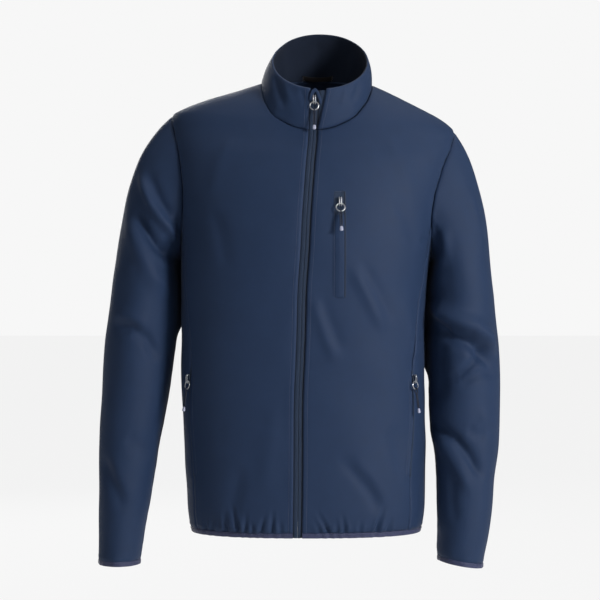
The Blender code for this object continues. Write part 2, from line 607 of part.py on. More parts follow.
def ring_normals(grid):
    """Outward normals of a tube's grid of rings."""
    around = np.roll(grid, -1, axis=1) - np.roll(grid, 1, axis=1)
    along = np.gradient(grid, axis=0)
    n = unit3(np.cross(around, along))
    outward = grid - grid.mean(axis=1, keepdims=True)
    return n if np.sum(n * outward) > 0 else -n


def build_sleeve(side_name, folds, mats, collection):
    grid, armhole, arm_out, away = sleeve_grid(side_name)
    out = ring_normals(grid)
    keep = np.clip(np.arange(len(grid)) / FOLD_IN_ROWS, 0, 1)[:, None]
    grid = grid + (fold_heights(grid, out, folds) * keep)[..., None] * out
    out = ring_normals(grid)
    inner = grid - WALL * out
    grid[0], inner[0] = seam_start(armhole, arm_out, away, out[0], WALL)
    rows, cols = grid.shape[:2]
    cloth_wall("sleeve_" + side_name, grid, inner, grid_faces(rows, cols, wrap=True), mats["cloth"], collection)
    band_top = grid[-1] + SEAM_GAP * np.array((0, 0, -1.0))
    band_low = grid[-1] + (BINDING_HEIGHT - SEAM_GAP) * np.array((0, 0, -1.0))
    shell = np.stack([band_top, band_low])
    side_out = np.stack([out[-1], out[-1]])
    cloth_wall("cuff_binding_" + side_name, shell + BINDING_STAND * side_out,
               shell - (BINDING_WALL - BINDING_STAND) * side_out,
               grid_faces(2, cols, wrap=True), mats["binding"], collection)


def collar_rim(sign, count):
    """Half the rim from its front edge to the middle of the back."""
    edge_x = RIM_FRONT_LEFT_X if sign > 0 else RIM_FRONT_RIGHT_X
    first = math.asin((edge_x - RIM_MIDDLE[0]) / RIM_HALF_WIDTH)
    phi = np.linspace(first, sign * math.pi, count)
    return np.stack([RIM_MIDDLE[0] + RIM_HALF_WIDTH * np.sin(phi),
                     RIM_MIDDLE[1] - RIM_HALF_DEPTH * np.cos(phi),
                     RIM_MIDDLE[2] - RIM_HALF_RISE * np.cos(phi)], axis=-1)


def collar_grid():
    """Collar rows from the neck seam to the rim, from the right front edge round to the left."""
    neck = seam_points(NECK_FRONT, NECK_FRONT_STEPS)
    neck[0, 0] = edge_angle(neck[0, 1], ZIP_HALF_GAP)
    back = seam_points(NECK_BACK, NECK_BACK_STEPS // 2)
    half = np.concatenate([neck, back[1:]])
    other = np.stack([360 - half[::-1, 0], half[::-1, 1]], axis=-1)
    loop = np.concatenate([half, other[1:]])[::-1]
    edge = body(loop[:, 0], loop[:, 1])
    edge_out = body_normals(loop[:, 0], loop[:, 1])
    away = away_from_panel(edge, edge_out, closed=False)
    if np.sum(away[:, 2]) < 0:
        away = -away
    count = len(half)
    rim = np.concatenate([collar_rim(-1, count), collar_rim(1, count)[::-1][1:]])
    start = edge + SEAM_GAP * away
    v = np.linspace(0, 1, COLLAR_STEPS + 1)[:, None, None]
    grid = start * (1 - v) + rim * v
    out = open_normals(grid)
    grid = grid + COLLAR_BOW * np.sin(math.pi * v) * out
    return grid, edge, edge_out, away


def open_normals(grid):
    around = np.gradient(grid, axis=1)
    along = np.gradient(grid, axis=0)
    n = unit3(np.cross(around, along))
    outward = grid - grid.mean(axis=(0, 1))
    return n if np.sum(n[..., :2] * outward[..., :2]) > 0 else -n


def build_collar(mats, collection):
    grid, edge, edge_out, away = collar_grid()
    out = open_normals(grid)
    faces = grid_faces(*grid.shape[:2])
    first, mitre = seam_start(edge, edge_out, away, out[0], 2 * COLLAR_WALL + SEAM_GAP)
    lean = unit3(first - mitre)
    out = out.copy()
    out[0] = lean
    outer_back = grid - COLLAR_WALL * out
    inner_front = grid - (COLLAR_WALL + SEAM_GAP) * out
    inner_back = grid - (2 * COLLAR_WALL + SEAM_GAP) * out
    cloth_wall("collar_outer", grid, outer_back, faces, mats["cloth"], collection)
    cloth_wall("collar_inner", inner_front, inner_back, faces, mats["inner"], collection)
    return grid, out


def build_hem_binding(mats, collection):
    """One band under the fronts and the back, open at the zip."""
    front = front_grid(1)[0, :, 0]
    around = back_patches()[0][0, :, 0]
    left = front[:-1]
    angle = np.concatenate([left, around, 360 - left[::-1]])
    top = np.full(angle.shape, HEM_Z + BINDING_HEIGHT)
    edge = body(angle, top)
    out = body_normals(angle, top)
    out[:, 2] = 0
    out = unit3(out)
    up = np.array((0, 0, 1.0))
    inward = unit3(np.array(HEM_MIDDLE) - edge * (1, 1, 0)) * (1, 1, 0)
    low = edge - (BINDING_HEIGHT - SEAM_GAP) * up + HEM_TUCK * inward
    shell = np.stack([edge - SEAM_GAP * up, low])
    outs = np.stack([out, out])
    cloth_wall("hem_binding", shell + BINDING_STAND * outs, shell - (BINDING_WALL - BINDING_STAND) * outs,
               grid_faces(2, len(angle)), mats["binding"], collection)


def zip_tape_lines(sign, grid, out):
    """Guide lines of a zip tape: middle, front's edge and hidden edge, up the front and the collar."""
    inset = WALL + LAY_GAP
    z = front_grid(1)[:-1, 0, 1]
    z = np.concatenate([[HEM_Z + TAPE_FOOT], z])
    lines = []
    for offset in (0.0, ZIP_HALF_GAP, ZIP_HALF_GAP + ZIP_OVERLAP):
        angle = sign * edge_angle(z, offset)
        lines.append(body(angle, z) - inset * body_normals(angle, z))
    column = -1 if sign > 0 else 0
    step = -1 if sign > 0 else 1
    inset = 2 * COLLAR_WALL + SEAM_GAP + LAY_GAP
    rows = np.array(TAPE_COLLAR_ROWS)
    low = np.floor(rows).astype(int)
    part = (rows - low)[:, None]

    def along(line):
        return line[low] * (1 - part) + line[np.minimum(low + 1, COLLAR_STEPS)] * part

    edge = along(grid[:, column] - inset * out[:, column])
    beside = along(grid[:, column + step] - inset * out[:, column + step])
    hidden = edge + unit3(beside - edge) * ZIP_OVERLAP
    return lines, edge, hidden


def build_zip_tapes(grid, out, mats, collection):
    sides = {}
    for name, sign in (("right", -1), ("left", 1)):
        sides[name] = (sign, *zip_tape_lines(sign, grid, out))
    middle_top = (sides["right"][2] + sides["left"][2]) / 2
    middle_top[:, 0] = np.linspace(middle_top[0, 0], ZIP_TOP_X, len(middle_top))
    for name, (sign, lines, edge, hidden) in sides.items():
        middle = np.concatenate([lines[0], middle_top])
        near = np.concatenate([lines[1], edge])
        far = np.concatenate([lines[2], hidden])
        middle = middle + unit3(near - middle) * SEAM_GAP / 2
        front = np.stack([middle, near, far], axis=1)
        n = open_normals(front)
        n = n * np.where(n[..., 1:2] > 0, -1, 1)
        cloth_wall("zip_tape_" + name, front, front - TAPE_WALL * n, grid_faces(*front.shape[:2]),
                   mats["zip"], collection)
    return middle_top


def on_facets(panel, surface, out):
    """Points moved along their normals onto a panel's facets."""
    laid = surface.copy()
    for index in np.ndindex(surface.shape[:-1]):
        start = surface[index] + RAY_START * out[index]
        laid[index] = panel.ray_cast(Vector(start), Vector(-out[index]))[0] or surface[index]
    return laid


def strip_on_body(name, columns, z, rise, wall, mat, collection, panel):
    """Strip on a panel: each column gives an angle for every height."""
    angle = np.stack(columns, axis=1)
    height = np.broadcast_to(z[:, None], angle.shape)
    out = body_normals(angle, height)
    surface = on_facets(panel, body(angle, height), out)
    cloth_wall(name, surface + (rise + wall) * out, surface + rise * out,
               grid_faces(*angle.shape), mat, collection)


def build_chest_pocket(panel, mats, collection):
    pocket = CHEST_POCKET
    z = np.linspace(pocket["z0"], pocket["z1"], pocket["rows"])
    columns = [angle_at(x, z) for x in np.linspace(pocket["x0"], pocket["x1"], pocket["tape_columns"])]
    strip_on_body("chest_pocket_tape", columns, z, LAY_GAP, STRIP_WALL, mats["zip"], collection, panel)
    z = z[z <= pocket["welt_z1"]]
    columns = [angle_at(x, z) for x in np.linspace(pocket["x0"], pocket["welt_x1"], pocket["welt_columns"])]
    strip_on_body("chest_pocket_welt", columns, z, LAY_GAP + STRIP_WALL + SEAM_GAP, WELT_WALL,
                  mats["cloth"], collection, panel)


def seam_angle_at(z):
    return smooth_table(SIDE_SEAM[:, 1], SIDE_SEAM[:, 0], z)[..., 0]


def build_hand_pocket(name, sign, panel, mats, collection):
    """Zip tape over the side seam and a welt on the front beside it."""
    pocket = HAND_POCKET
    z = np.linspace(pocket["z0"], pocket["z1"], pocket["rows"])
    seam = seam_angle_at(z)
    half = pocket["tape"] / 2 / DEGREE_WIDTH
    columns = [sign * (seam + shift) for shift in (-half, 0, half)]
    strip_on_body("pocket_tape_" + name, columns, z, LAY_GAP, STRIP_WALL, mats["zip"], collection, panel)
    z = np.linspace(pocket["z0"], pocket["z1"] - pocket["welt_short"], pocket["rows"])
    seam = seam_angle_at(z)
    near = (pocket["tape"] / 2 + pocket["gap"]) / DEGREE_WIDTH
    far = near + pocket["welt"] / DEGREE_WIDTH
    columns = [sign * (seam - shift) for shift in (near, (near + far) / 2, far)]
    strip_on_body("pocket_welt_" + name, columns, z, LAY_GAP, WELT_WALL, mats["cloth"], collection, panel)


def frame_on_surface(point, out, up):
    """Placement whose local -Y looks out of the cloth and whose local Z runs up along it."""
    back = -Vector(out)
    rise = Vector(up)
    rise = (rise - rise.dot(back) * back).normalized()
    right = back.cross(rise)
    place = Matrix((right, back, rise)).transposed().to_4x4()
    place.translation = Vector(point) * MM
    return place


def box_mesh(bm, size, middle):
    made = bmesh.ops.create_cube(bm, size=1.0)["verts"]
    for v in made:
        v.co = Vector([v.co[i] * size[i] * MM + middle[i] * MM for i in range(3)])
    return made


def build_slider(name, place, mats, collection):
    """Slider: a plate on the tape with an arch that carries the pull ring."""
    s = SLIDER
    mesh = bpy.data.meshes.new(name)
    bm = bmesh.new()
    box_mesh(bm, (s["width"], s["plate"], s["length"]), (0, 0, 0))
    bmesh.ops.bevel(bm, geom=list(bm.edges), offset=s["plate_bevel"] * MM, segments=1, affect="EDGES")
    bm.to_mesh(mesh)
    bm.free()
    plate = new_object(name, mesh, mats["metal"], collection)
    arch_mesh = bpy.data.meshes.new(name + "_arch")
    bm = bmesh.new()
    half, leg, rise = s["arch_span"] / 2, s["arch_leg"], s["arch_rise"]
    root = -s["plate"] / 2 + s["arch_root"]
    cut = s["arch_corner"]
    profile = [(root, half), (-rise + cut, half), (-rise, half - cut), (-rise, -half + cut),
               (-rise + cut, -half), (root, -half), (root, -half + leg), (-rise + leg, -half + leg),
               (-rise + leg, half - leg), (root, half - leg)]
    corners = [bm.verts.new((-s["arch"] / 2 * MM, y * MM, z * MM)) for y, z in profile]
    face = bm.faces.new(corners)
    moved = bmesh.ops.extrude_face_region(bm, geom=[face])["geom"]
    bmesh.ops.translate(bm, vec=(s["arch"] * MM, 0, 0), verts=[g for g in moved if isinstance(g, bmesh.types.BMVert)])
    bmesh.ops.recalc_face_normals(bm, faces=bm.faces)
    bm.to_mesh(arch_mesh)
    bm.free()
    arch = bpy.data.objects.new(name + "_arch", arch_mesh)
    CUTTERS.objects.link(arch)
    arch.hide_render = True
    arch.display_type = "WIRE"
    for obj in (plate, arch):
        obj.matrix_world = place
    join = plate.modifiers.new("arch", "BOOLEAN")
    join.operation = "UNION"
    join.solver = "EXACT"
    join.object = arch
    return plate


def build_puller(name, place, length, mats, collection):
    """Pull ring through the arch, a cord loop round the ring's foot and a moulded tip."""
    radius, wire = PULL_RING["radius"], PULL_RING["wire"]
    bpy.ops.mesh.primitive_torus_add(major_radius=radius * MM, minor_radius=wire * MM,
                                     major_segments=PULL_RING["segments"],
                                     minor_segments=PULL_RING["wire_segments"])
    ring = bpy.context.object
    ring.name = ring.data.name = name + "_ring"
    ring.data.transform(Matrix.Rotation(math.pi / 2, 4, "X"))
    ring.data.transform(Matrix.Translation((0, 0, -radius * MM)))
    ring.data.materials.append(mats["metal"])
    ring.data.shade_smooth()
    for old in list(ring.users_collection):
        old.objects.unlink(ring)
    collection.objects.link(ring)

    foot = -2 * radius
    reach = wire + SEAM_GAP + CORD_RADIUS
    strand, high, bend = CORD["strand"], foot - CORD["bend_high"], foot - CORD["bend_low"]
    low = foot - length
    top_arc = [(reach * math.cos(t), foot + reach * math.sin(t)) for t in np.linspace(0, math.pi, CORD["top_steps"])]
    low_arc = [(-strand * math.cos(t), low + strand - strand * math.sin(t))
               for t in np.linspace(0, math.pi, CORD["foot_steps"])]
    route = top_arc + [(-reach, high), (-strand, bend)] + low_arc + [(strand, bend), (reach, high)]
    curve = bpy.data.curves.new(name + "_cord", "CURVE")
    curve.dimensions = "3D"
    curve.bevel_depth = (CORD_RADIUS - CORD["drawn_in"]) * MM
    curve.bevel_resolution = 1
    curve.render_resolution_u = 0
    spline = curve.splines.new("POLY")
    spline.points.add(len(route) - 1)
    for point, (y, z) in zip(spline.points, route):
        point.co = (0, y * MM, z * MM, 1)
    spline.use_cyclic_u = True
    cord = bpy.data.objects.new(name + "_cord", curve)
    cord.data.materials.append(mats["cord"])
    collection.objects.link(cord)

    tip_mesh = bpy.data.meshes.new(name + "_tip")
    bm = bmesh.new()
    top = low - CORD_RADIUS - SEAM_GAP
    box_mesh(bm, (TIP["width"], TIP["thick"], TIP["length"]), (0, 0, top - TIP["length"] / 2))
    bmesh.ops.bevel(bm, geom=list(bm.edges), offset=TIP["bevel"] * MM, segments=1, affect="EDGES")
    bm.to_mesh(tip_mesh)
    bm.free()
    tip_mesh.shade_smooth()
    tip = new_object(name + "_tip", tip_mesh, mats["tip"], collection)
    for obj in (ring, cord, tip):
        obj.matrix_world = place


def build_zip_pull(name, seat, out, mats, collection):
    """Slider on its tape at a point, with its puller hanging in the arch."""
    pull = PULLS[name]
    out = Vector(out).normalized()
    up = Vector((0, 0, 1.0))
    middle = Vector(seat) + out * (SEAM_GAP + SLIDER["plate"] / 2)
    place = frame_on_surface(middle, out, up)
    build_slider("slider_" + name, place, mats, collection)
    window = (SLIDER["plate"] / 2 + SLIDER["arch_rise"] - SLIDER["arch_leg"]) / 2
    hang = place @ Matrix.Translation((0, -window * MM, RING_SEAT * MM))
    hang = hang @ Matrix.Rotation(-math.radians(pull["tilt"]), 4, "X")
    build_puller("puller_" + name, hang, pull["cord"], mats, collection)


def build_zip_pulls(zip_top, mats, collection):
    """The main slider high in the collar, and one on each pocket's tape."""
    ends = []
    for z in (PULLS["main"]["z"] - SLIDER["length"] / 2, PULLS["main"]["z"] + SLIDER["length"] / 2):
        ends.append(np.array([np.interp(z, zip_top[:, 2], zip_top[:, i]) for i in range(3)]))
    out = np.cross((1.0, 0, 0), ends[1] - ends[0])
    seat = (ends[0] + ends[1]) / 2 + SEAM_GAP * unit3(out)
    build_zip_pull("main", seat, out, mats, collection)
    rise = LAY_GAP + STRIP_WALL
    middle_x = (CHEST_POCKET["x0"] + CHEST_POCKET["x1"]) / 2
    for name, sign in (("chest", 0), ("hand_left", 1), ("hand_right", -1)):
        z = np.array([PULLS[name]["z"]])
        angle = sign * seam_angle_at(z) if sign else angle_at(middle_x, z)
        out = body_normals(angle, z)[0]
        build_zip_pull(name, body(angle, z)[0] + rise * out, out, mats, collection)
    return seat[1]


def build_garage(tape_y, mats, collection):
    """Bound strip over the zip's top end, an upside-down V between the collar's edges."""
    curve = bpy.data.curves.new("zip_garage", "CURVE")
    curve.dimensions = "2D"
    curve.fill_mode = "BOTH"
    curve.extrude = GARAGE_WALL / 2 * MM
    curve.render_resolution_u = 0
    spline = curve.splines.new("POLY")
    spline.points.add(len(GARAGE) - 1)
    for point, (x, z) in zip(spline.points, GARAGE):
        point.co = (x * MM, z * MM, 0, 1)
    spline.use_cyclic_u = True
    garage = bpy.data.objects.new("zip_garage", curve)
    garage.data.materials.append(mats["cloth"])
    front = 2 * SEAM_GAP + SLIDER["plate"] + GARAGE_WALL
    garage.rotation_euler = (math.pi / 2, 0, 0)
    garage.location = (0, (tape_y - front) * MM, 0)
    collection.objects.link(garage)


def build_hanger_loop(grid, mats, collection):
    """Short strap inside the back neck, sewn down at both ends and bowed between them."""
    h = HANGER
    x = np.linspace(h["x0"], h["x1"], h["points"])
    seam = grid[0]
    back = seam[:, 1] > h["behind"]
    order = np.argsort(seam[back, 0])
    y = np.interp(x, seam[back, 0][order], seam[back, 1][order])
    z = np.interp(x, seam[back, 0][order], seam[back, 2][order])
    bow = h["bow"] * np.sin(np.linspace(0, math.pi, h["points"]))
    front = y - (2 * COLLAR_WALL + SEAM_GAP) - h["off"] - bow
    low = np.stack([x, front, z + h["lift"] - bow], axis=-1)
    high = low + (0, h["lean"], h["height"])
    face = np.stack([low, high])
    cloth_wall("hanger_loop", face, face + (0, h["wall"], 0), grid_faces(2, h["points"]), mats["inner"], collection)


clear_scene()
JACKET = bpy.data.collections.new("softshell_jacket")
CUTTERS = bpy.data.collections.new("cutters")
bpy.context.scene.collection.children.link(JACKET)
bpy.context.scene.collection.children.link(CUTTERS)
MATS = {
    "cloth": material("softshell_navy", (0.040, 0.063, 0.130), 0.62),
    "inner": material("collar_lining_dark", (0.010, 0.016, 0.034), 0.85),
    "binding": material("stretch_binding", (0.048, 0.062, 0.160), 0.55),
    "zip": material("zip_tape_navy", (0.014, 0.022, 0.050), 0.6),
    "metal": material("zip_metal", (0.60, 0.60, 0.62), 0.28, 1.0),
    "cord": material("puller_cord_navy", (0.020, 0.030, 0.070), 0.6),
    "tip": material("puller_tip_light", (0.60, 0.60, 0.72), 0.45),
}
RIGHT_PANEL = build_front("front_right", -1, MATS["cloth"], JACKET)
LEFT_PANEL = build_front("front_left", 1, MATS["cloth"], JACKET)
build_back(MATS["cloth"], JACKET)
build_sleeve("right", RIGHT_SLEEVE_FOLDS, MATS, JACKET)
build_sleeve("left", LEFT_SLEEVE_FOLDS, MATS, JACKET)
COLLAR, COLLAR_OUT = build_collar(MATS, JACKET)
build_hem_binding(MATS, JACKET)
ZIP_TOP = build_zip_tapes(COLLAR, COLLAR_OUT, MATS, JACKET)
build_chest_pocket(LEFT_PANEL, MATS, JACKET)
build_hand_pocket("left", 1, LEFT_PANEL, MATS, JACKET)
build_hand_pocket("right", -1, RIGHT_PANEL, MATS, JACKET)
build_hanger_loop(COLLAR, MATS, JACKET)
TAPE_Y = build_zip_pulls(ZIP_TOP, MATS, JACKET)
build_garage(TAPE_Y, MATS, JACKET)
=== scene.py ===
# Navy softshell jacket in its worn form: fine cloth, seams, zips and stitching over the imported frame.
# Shapes are worked out in millimetres, +X to the wearer's left, -Y ahead, and become metres in the mesh.
import json
import math

import bpy
import numpy as np
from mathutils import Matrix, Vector


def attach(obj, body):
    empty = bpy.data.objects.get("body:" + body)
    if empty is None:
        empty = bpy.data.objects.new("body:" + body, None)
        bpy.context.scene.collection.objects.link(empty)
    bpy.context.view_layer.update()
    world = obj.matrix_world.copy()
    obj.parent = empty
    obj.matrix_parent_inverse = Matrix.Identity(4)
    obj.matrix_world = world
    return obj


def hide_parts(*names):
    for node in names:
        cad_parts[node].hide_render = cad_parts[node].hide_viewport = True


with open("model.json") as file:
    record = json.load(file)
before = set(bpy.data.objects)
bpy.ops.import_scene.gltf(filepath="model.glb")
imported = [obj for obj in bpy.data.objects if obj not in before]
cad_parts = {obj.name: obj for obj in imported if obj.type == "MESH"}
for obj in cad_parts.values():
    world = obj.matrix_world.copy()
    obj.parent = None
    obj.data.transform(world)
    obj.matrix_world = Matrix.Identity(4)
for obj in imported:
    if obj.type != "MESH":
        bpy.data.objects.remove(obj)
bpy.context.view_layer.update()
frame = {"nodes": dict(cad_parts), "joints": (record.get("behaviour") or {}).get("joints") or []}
mm = 0.001
fine = 6               # grid cells here for each cell of the plain solids
wall = 1.6
seamGap = 0.3
degreeWidth = 3.3      # a degree round the body, in mm
print("stage: frame loaded")

# the figure that fills the jacket: z, middle x, half width, front depth, back depth, squareness
torsoTable = np.array([
    (-660, -12.0, 170.0, 111, 103, 2.4),
    (-653, -12.0, 172.0, 113, 105, 2.4),
    (-640, -12.0, 176.5, 117, 108, 2.4),
    (-610, -12.2, 180.0, 120, 110, 2.4),
    (-532, -13.6, 182.4, 122, 108, 2.4),
    (-416, -16.8, 184.0, 127, 109, 2.4),
    (-304, -16.4, 185.6, 134, 121, 2.4),
    (-228, -12.5, 189.5, 136, 129, 2.4),
    (-184, -11.0, 195.0, 132, 132, 2.4),
    (-146, -9.0, 202.0, 126, 132, 2.3),
    (-92, -5.0, 213.0, 109, 125, 2.15),
    (-66, -2.5, 217.5, 95, 119, 2.05),
    (-50, -2.0, 217.5, 87, 115, 2.0),
    (-36, -1.0, 212.5, 80, 111, 2.0),
    (-24, 0.0, 196.5, 73, 107, 2.0),
    (-12, 1.0, 172.0, 66, 103, 2.0),
    (0, 2.5, 143.0, 58, 98, 2.0),
    (12, 3.5, 112.0, 49, 92, 2.0),
    (23.5, 4.0, 83.0, 40, 86, 2.0),
    (36, 4.0, 66.0, 32, 78, 2.0),
    (44, 4.0, 56.0, 28, 74, 2.0),
])
turnTable = np.array([(-660, -4.4), (-507, -3.0), (-347, -0.9), (-200, -0.3), (-124, 0.0), (44, 0.0)])
# the left shoulder hangs lower: share of the way past the neck, and the heights where it sets in
shoulderTilt = {"share": 0.09, "neckX": 4.0, "from": 80.0, "bend": 30.0, "low": -300.0, "over": 200.0}
torsoStep = (0.4, 1.5)    # degrees and mm between the points that give a normal
bodyStep = (0.8, 3.0)
hemHeight = -653.0
underarm = -238.0
bindingHeight = 7.0

# seams as angle from the zip and height
neckFront = np.array([
    (0.0, -53.0), (7.4, -48.6), (12.1, -41.0), (16.7, -32.0), (20.6, -22.0),
    (28.0, -8.0), (38.5, 5.0), (52.0, 14.5), (70.0, 20.5), (90.0, 23.5)])
neckBack = np.array([(90.0, 23.5), (112.0, 28.0), (135.0, 32.0), (158.0, 35.0), (180.0, 36.0)])
sideSeam = np.array([
    (59.5, -653.0), (58.5, -600.0), (58.0, -560.0), (60.5, -477.0), (58.5, -400.0),
    (63.5, -315.0), (69.5, -250.0), (68.5, -190.0)])
armFront = np.array([
    (90.0, -36.0), (82.0, -44.0), (75.0, -58.0), (69.0, -80.0), (66.0, -105.0),
    (64.5, -140.0), (65.5, -170.0), (68.5, -190.0)])
armUnder = np.array([(68.5, -190.0), (73.0, -210.0), (79.0, -225.0), (86.0, -235.0), (92.0, -238.0)])
armBack = np.array([
    (92.0, -238.0), (101.0, -231.0), (107.5, -213.0), (112.0, -180.0), (114.0, -140.0),
    (112.0, -100.0), (107.0, -70.0), (99.0, -48.0), (90.0, -36.0)])

# soft folds: face (-1 front, 1 back), rise, width before and behind its line, then its line as x, z pairs
bodyFolds = [
    (-1, 2.2, 9, 12, [(52, -252), (70, -286), (92, -330), (104, -352)]),
    (-1, -1.3, 8, 9, [(66, -246), (92, -290), (118, -340)]),
    (-1, 1.8, 9, 12, [(-2, -300), (8, -336), (20, -368), (34, -398)]),
    (-1, -1.1, 8, 9, [(8, -296), (22, -338), (40, -380)]),
    (-1, -1.9, 9, 12, [(34, -532), (60, -558), (84, -588), (98, -622)]),
    (-1, 1.3, 8, 10, [(54, -536), (84, -566), (108, -606)]),
    (-1, -1.6, 12, 12, [(116, -486), (124, -530), (130, -572)]),
    (-1, 1.2, 9, 11, [(132, -300), (144, -350), (150, -398)]),
    (-1, -1.2, 9, 11, [(118, -150), (138, -190), (150, -232)]),
    (-1, 1.0, 9, 12, [(100, -60), (128, -100), (146, -150)]),
    (-1, -1.3, 12, 12, [(-108, -546), (-116, -590), (-124, -630)]),
    (-1, 1.2, 16, 16, [(-58, -450), (-66, -520), (-74, -590)]),
    (-1, -0.9, 9, 12, [(-150, -170), (-136, -214), (-128, -262)]),
    (-1, 0.9, 12, 12, [(-120, -60), (-140, -100), (-152, -150)]),
    (1, 2.2, 16, 20, [(-158, -100), (-136, -160), (-116, -222)]),
    (1, 2.4, 18, 16, [(148, -100), (126, -166), (104, -226)]),
    (1, -1.4, 12, 12, [(-146, -84), (-112, -140), (-84, -196)]),
    (1, -1.4, 12, 12, [(130, -80), (98, -136), (74, -190)]),
    (1, -2.4, 14, 16, [(-132, -392), (-92, -412), (-44, -432)]),
    (1, -2.2, 14, 16, [(20, -427), (64, -418), (116, -402)]),
    (1, 2.0, 14, 18, [(-82, -458), (-20, -472), (40, -476)]),
    (1, 1.4, 12, 12, [(-140, -436), (-108, -448), (-70, -452)]),
    (1, 2.0, 14, 14, [(58, -552), (70, -596), (82, -640)]),
    (1, 2.0, 14, 14, [(-78, -534), (-88, -584), (-96, -636)]),
    (1, -1.2, 9, 9, [(104, -520), (116, -560), (120, -610)]),
    (-1, -1.2, 2.2, 2.2, [(156, -217), (163, -215), (171, -214)]),
    (-1, -1.2, 2.2, 2.2, [(149, -310), (156, -306), (162, -302)]),
]
foldStrength = {"body": 1.7, "sleeves": 1.55, "facing": 1.6, "endFade": 0.3, "endLeft": 0.15}
gatherLook = {"strength": 2.4, "width": 3.1, "sewn": 0.12, "sewnOver": 5.0, "fade": 1.5,
              "roll": 0.45, "rollAt": 1.9, "rollWidth": 0.9}
# hem gathers: x at the binding, x at the top, length, depth, face
hemGathers = np.array([
    (-161, -160, 18, 1.5, -1), (-151, -151, 20, 1.4, -1), (-129, -134, 32, 2.0, -1),
    (-111, -124, 46, 2.4, -1), (-101, -100, 34, 1.8, -1), (-89, -96, 22, 1.5, -1),
    (-79, -73, 30, 2.0, -1), (-62, -61, 38, 2.0, -1), (-49, -51, 20, 1.4, -1),
    (22, 0, 38, 2.2, -1), (10, -2, 22, 1.4, -1), (33, 33, 20, 1.2, -1),
    (45, 40, 30, 2.0, -1), (90, 105, 42, 2.4, -1), (107, 116, 24, 1.6, -1), (66, 68, 20, 1.2, -1),
    (-150, -154, 24, 1.8, 1), (-118, -112, 34, 2.2, 1), (-88, -92, 26, 1.8, 1),
    (-52, -46, 40, 2.4, 1), (-14, -18, 24, 1.6, 1), (22, 26, 34, 2.2, 1),
    (58, 52, 28, 1.8, 1), (94, 99, 38, 2.4, 1), (130, 126, 24, 1.8, 1)], dtype=float)


def smoothTable(xs, ys, x):
    # monotone cubic through the table's rows: each tangent is the harmonic mean of its two slopes
    xs = np.asarray(xs, float)
    ys = np.asarray(ys, float).reshape(len(xs), -1)
    steps = np.diff(xs)[:, None]
    slopes = np.diff(ys, axis=0) / steps
    tangents = np.zeros_like(ys)
    tangents[0], tangents[-1] = slopes[0], slopes[-1]
    same = slopes[:-1] * slopes[1:] > 0
    total = np.where(same, slopes[:-1] + slopes[1:], 1.0)
    tangents[1:-1] = np.where(same, 2 * slopes[:-1] * slopes[1:] / total, 0.0)
    x = np.asarray(x, float)
    flat = np.clip(x.ravel(), xs[0], xs[-1])
    k = np.clip(np.searchsorted(xs, flat) - 1, 0, len(xs) - 2)
    h = steps[k]
    t = ((flat - xs[k]) / steps[k, 0])[:, None]
    value = hermite(t, ys[k], ys[k + 1], h, tangents[k], tangents[k + 1])
    return value.reshape(x.shape + (ys.shape[1],))


def unit(v):
    # each vector over its length
    return v / np.linalg.norm(v, axis=-1, keepdims=True)


def bell(distance, width):
    # exp(-(distance / width)^2)
    return np.exp(-(distance / width) ** 2)


def lengthAlong(path):
    # the distance along a path from its first point to each of its points
    return np.concatenate(([0], np.cumsum(np.linalg.norm(np.diff(path, axis=0), axis=1))))


def readAt(even, along, path):
    # each coordinate of a path, read at even distances along it
    return np.stack([np.interp(even, along, path[:, i]) for i in range(path.shape[1])], axis=-1)


def hermite(t, start, end, scale, startRun, endRun):
    # cubic from start to end that leaves along one run and arrives along the other, both scaled
    return ((2 * t**3 - 3 * t**2 + 1) * start + (t**3 - 2 * t**2 + t) * scale * startRun
            + (3 * t**2 - 2 * t**3) * end + (t**3 - t**2) * scale * endRun)


def shownShare(face, facing):
    # 1 where the cloth looks the fold's way, falling to 0 as it turns to the side
    return np.clip(face * facing[..., 1] * foldStrength["facing"], 0, 1)


def smoothStep(t):
    # 3 t^2 - 2 t^3 between 0 and 1, level beyond
    t = np.clip(t, 0, 1)
    return t * t * (3 - 2 * t)


def seamPoints(table, steps):
    # even steps along a seam, with a degree counted as its width in mm
    along = lengthAlong(table * (degreeWidth, 1.0))
    return smoothTable(along, table, np.linspace(0, along[-1], steps + 1))


def torso(angle, z):
    # superellipse round the figure: |x / half width|^n + |y / depth|^n = 1, dropped at the left shoulder
    row = smoothTable(torsoTable[:, 0], torsoTable[:, 1:], z)
    mid, half, front, back, square = np.moveaxis(row, -1, 0)
    turned = np.radians(angle + smoothTable(turnTable[:, 0], turnTable[:, 1:], z)[..., 0])
    s, c = np.sin(turned), np.cos(turned)
    reach = (np.abs(s)**square + np.abs(c)**square) ** (-1 / square)
    x = mid + half * reach * s
    y = -np.where(c > 0, front, back) * reach * c
    tilt = shoulderTilt
    pastNeck = np.abs(x - tilt["neckX"]) - tilt["from"]
    beyond = (pastNeck + np.hypot(pastNeck, tilt["bend"])) / 2
    drop = tilt["share"] * np.sign(x) * beyond * smoothStep((z - tilt["low"]) / tilt["over"])
    return np.stack([x, y, z - drop], axis=-1)


def normalsOf(surface, a, b, da, db):
    # cross product of the surface's two central differences, da and db to either side
    return unit(np.cross(surface(a + da, b) - surface(a - da, b), surface(a, b + db) - surface(a, b - db)))


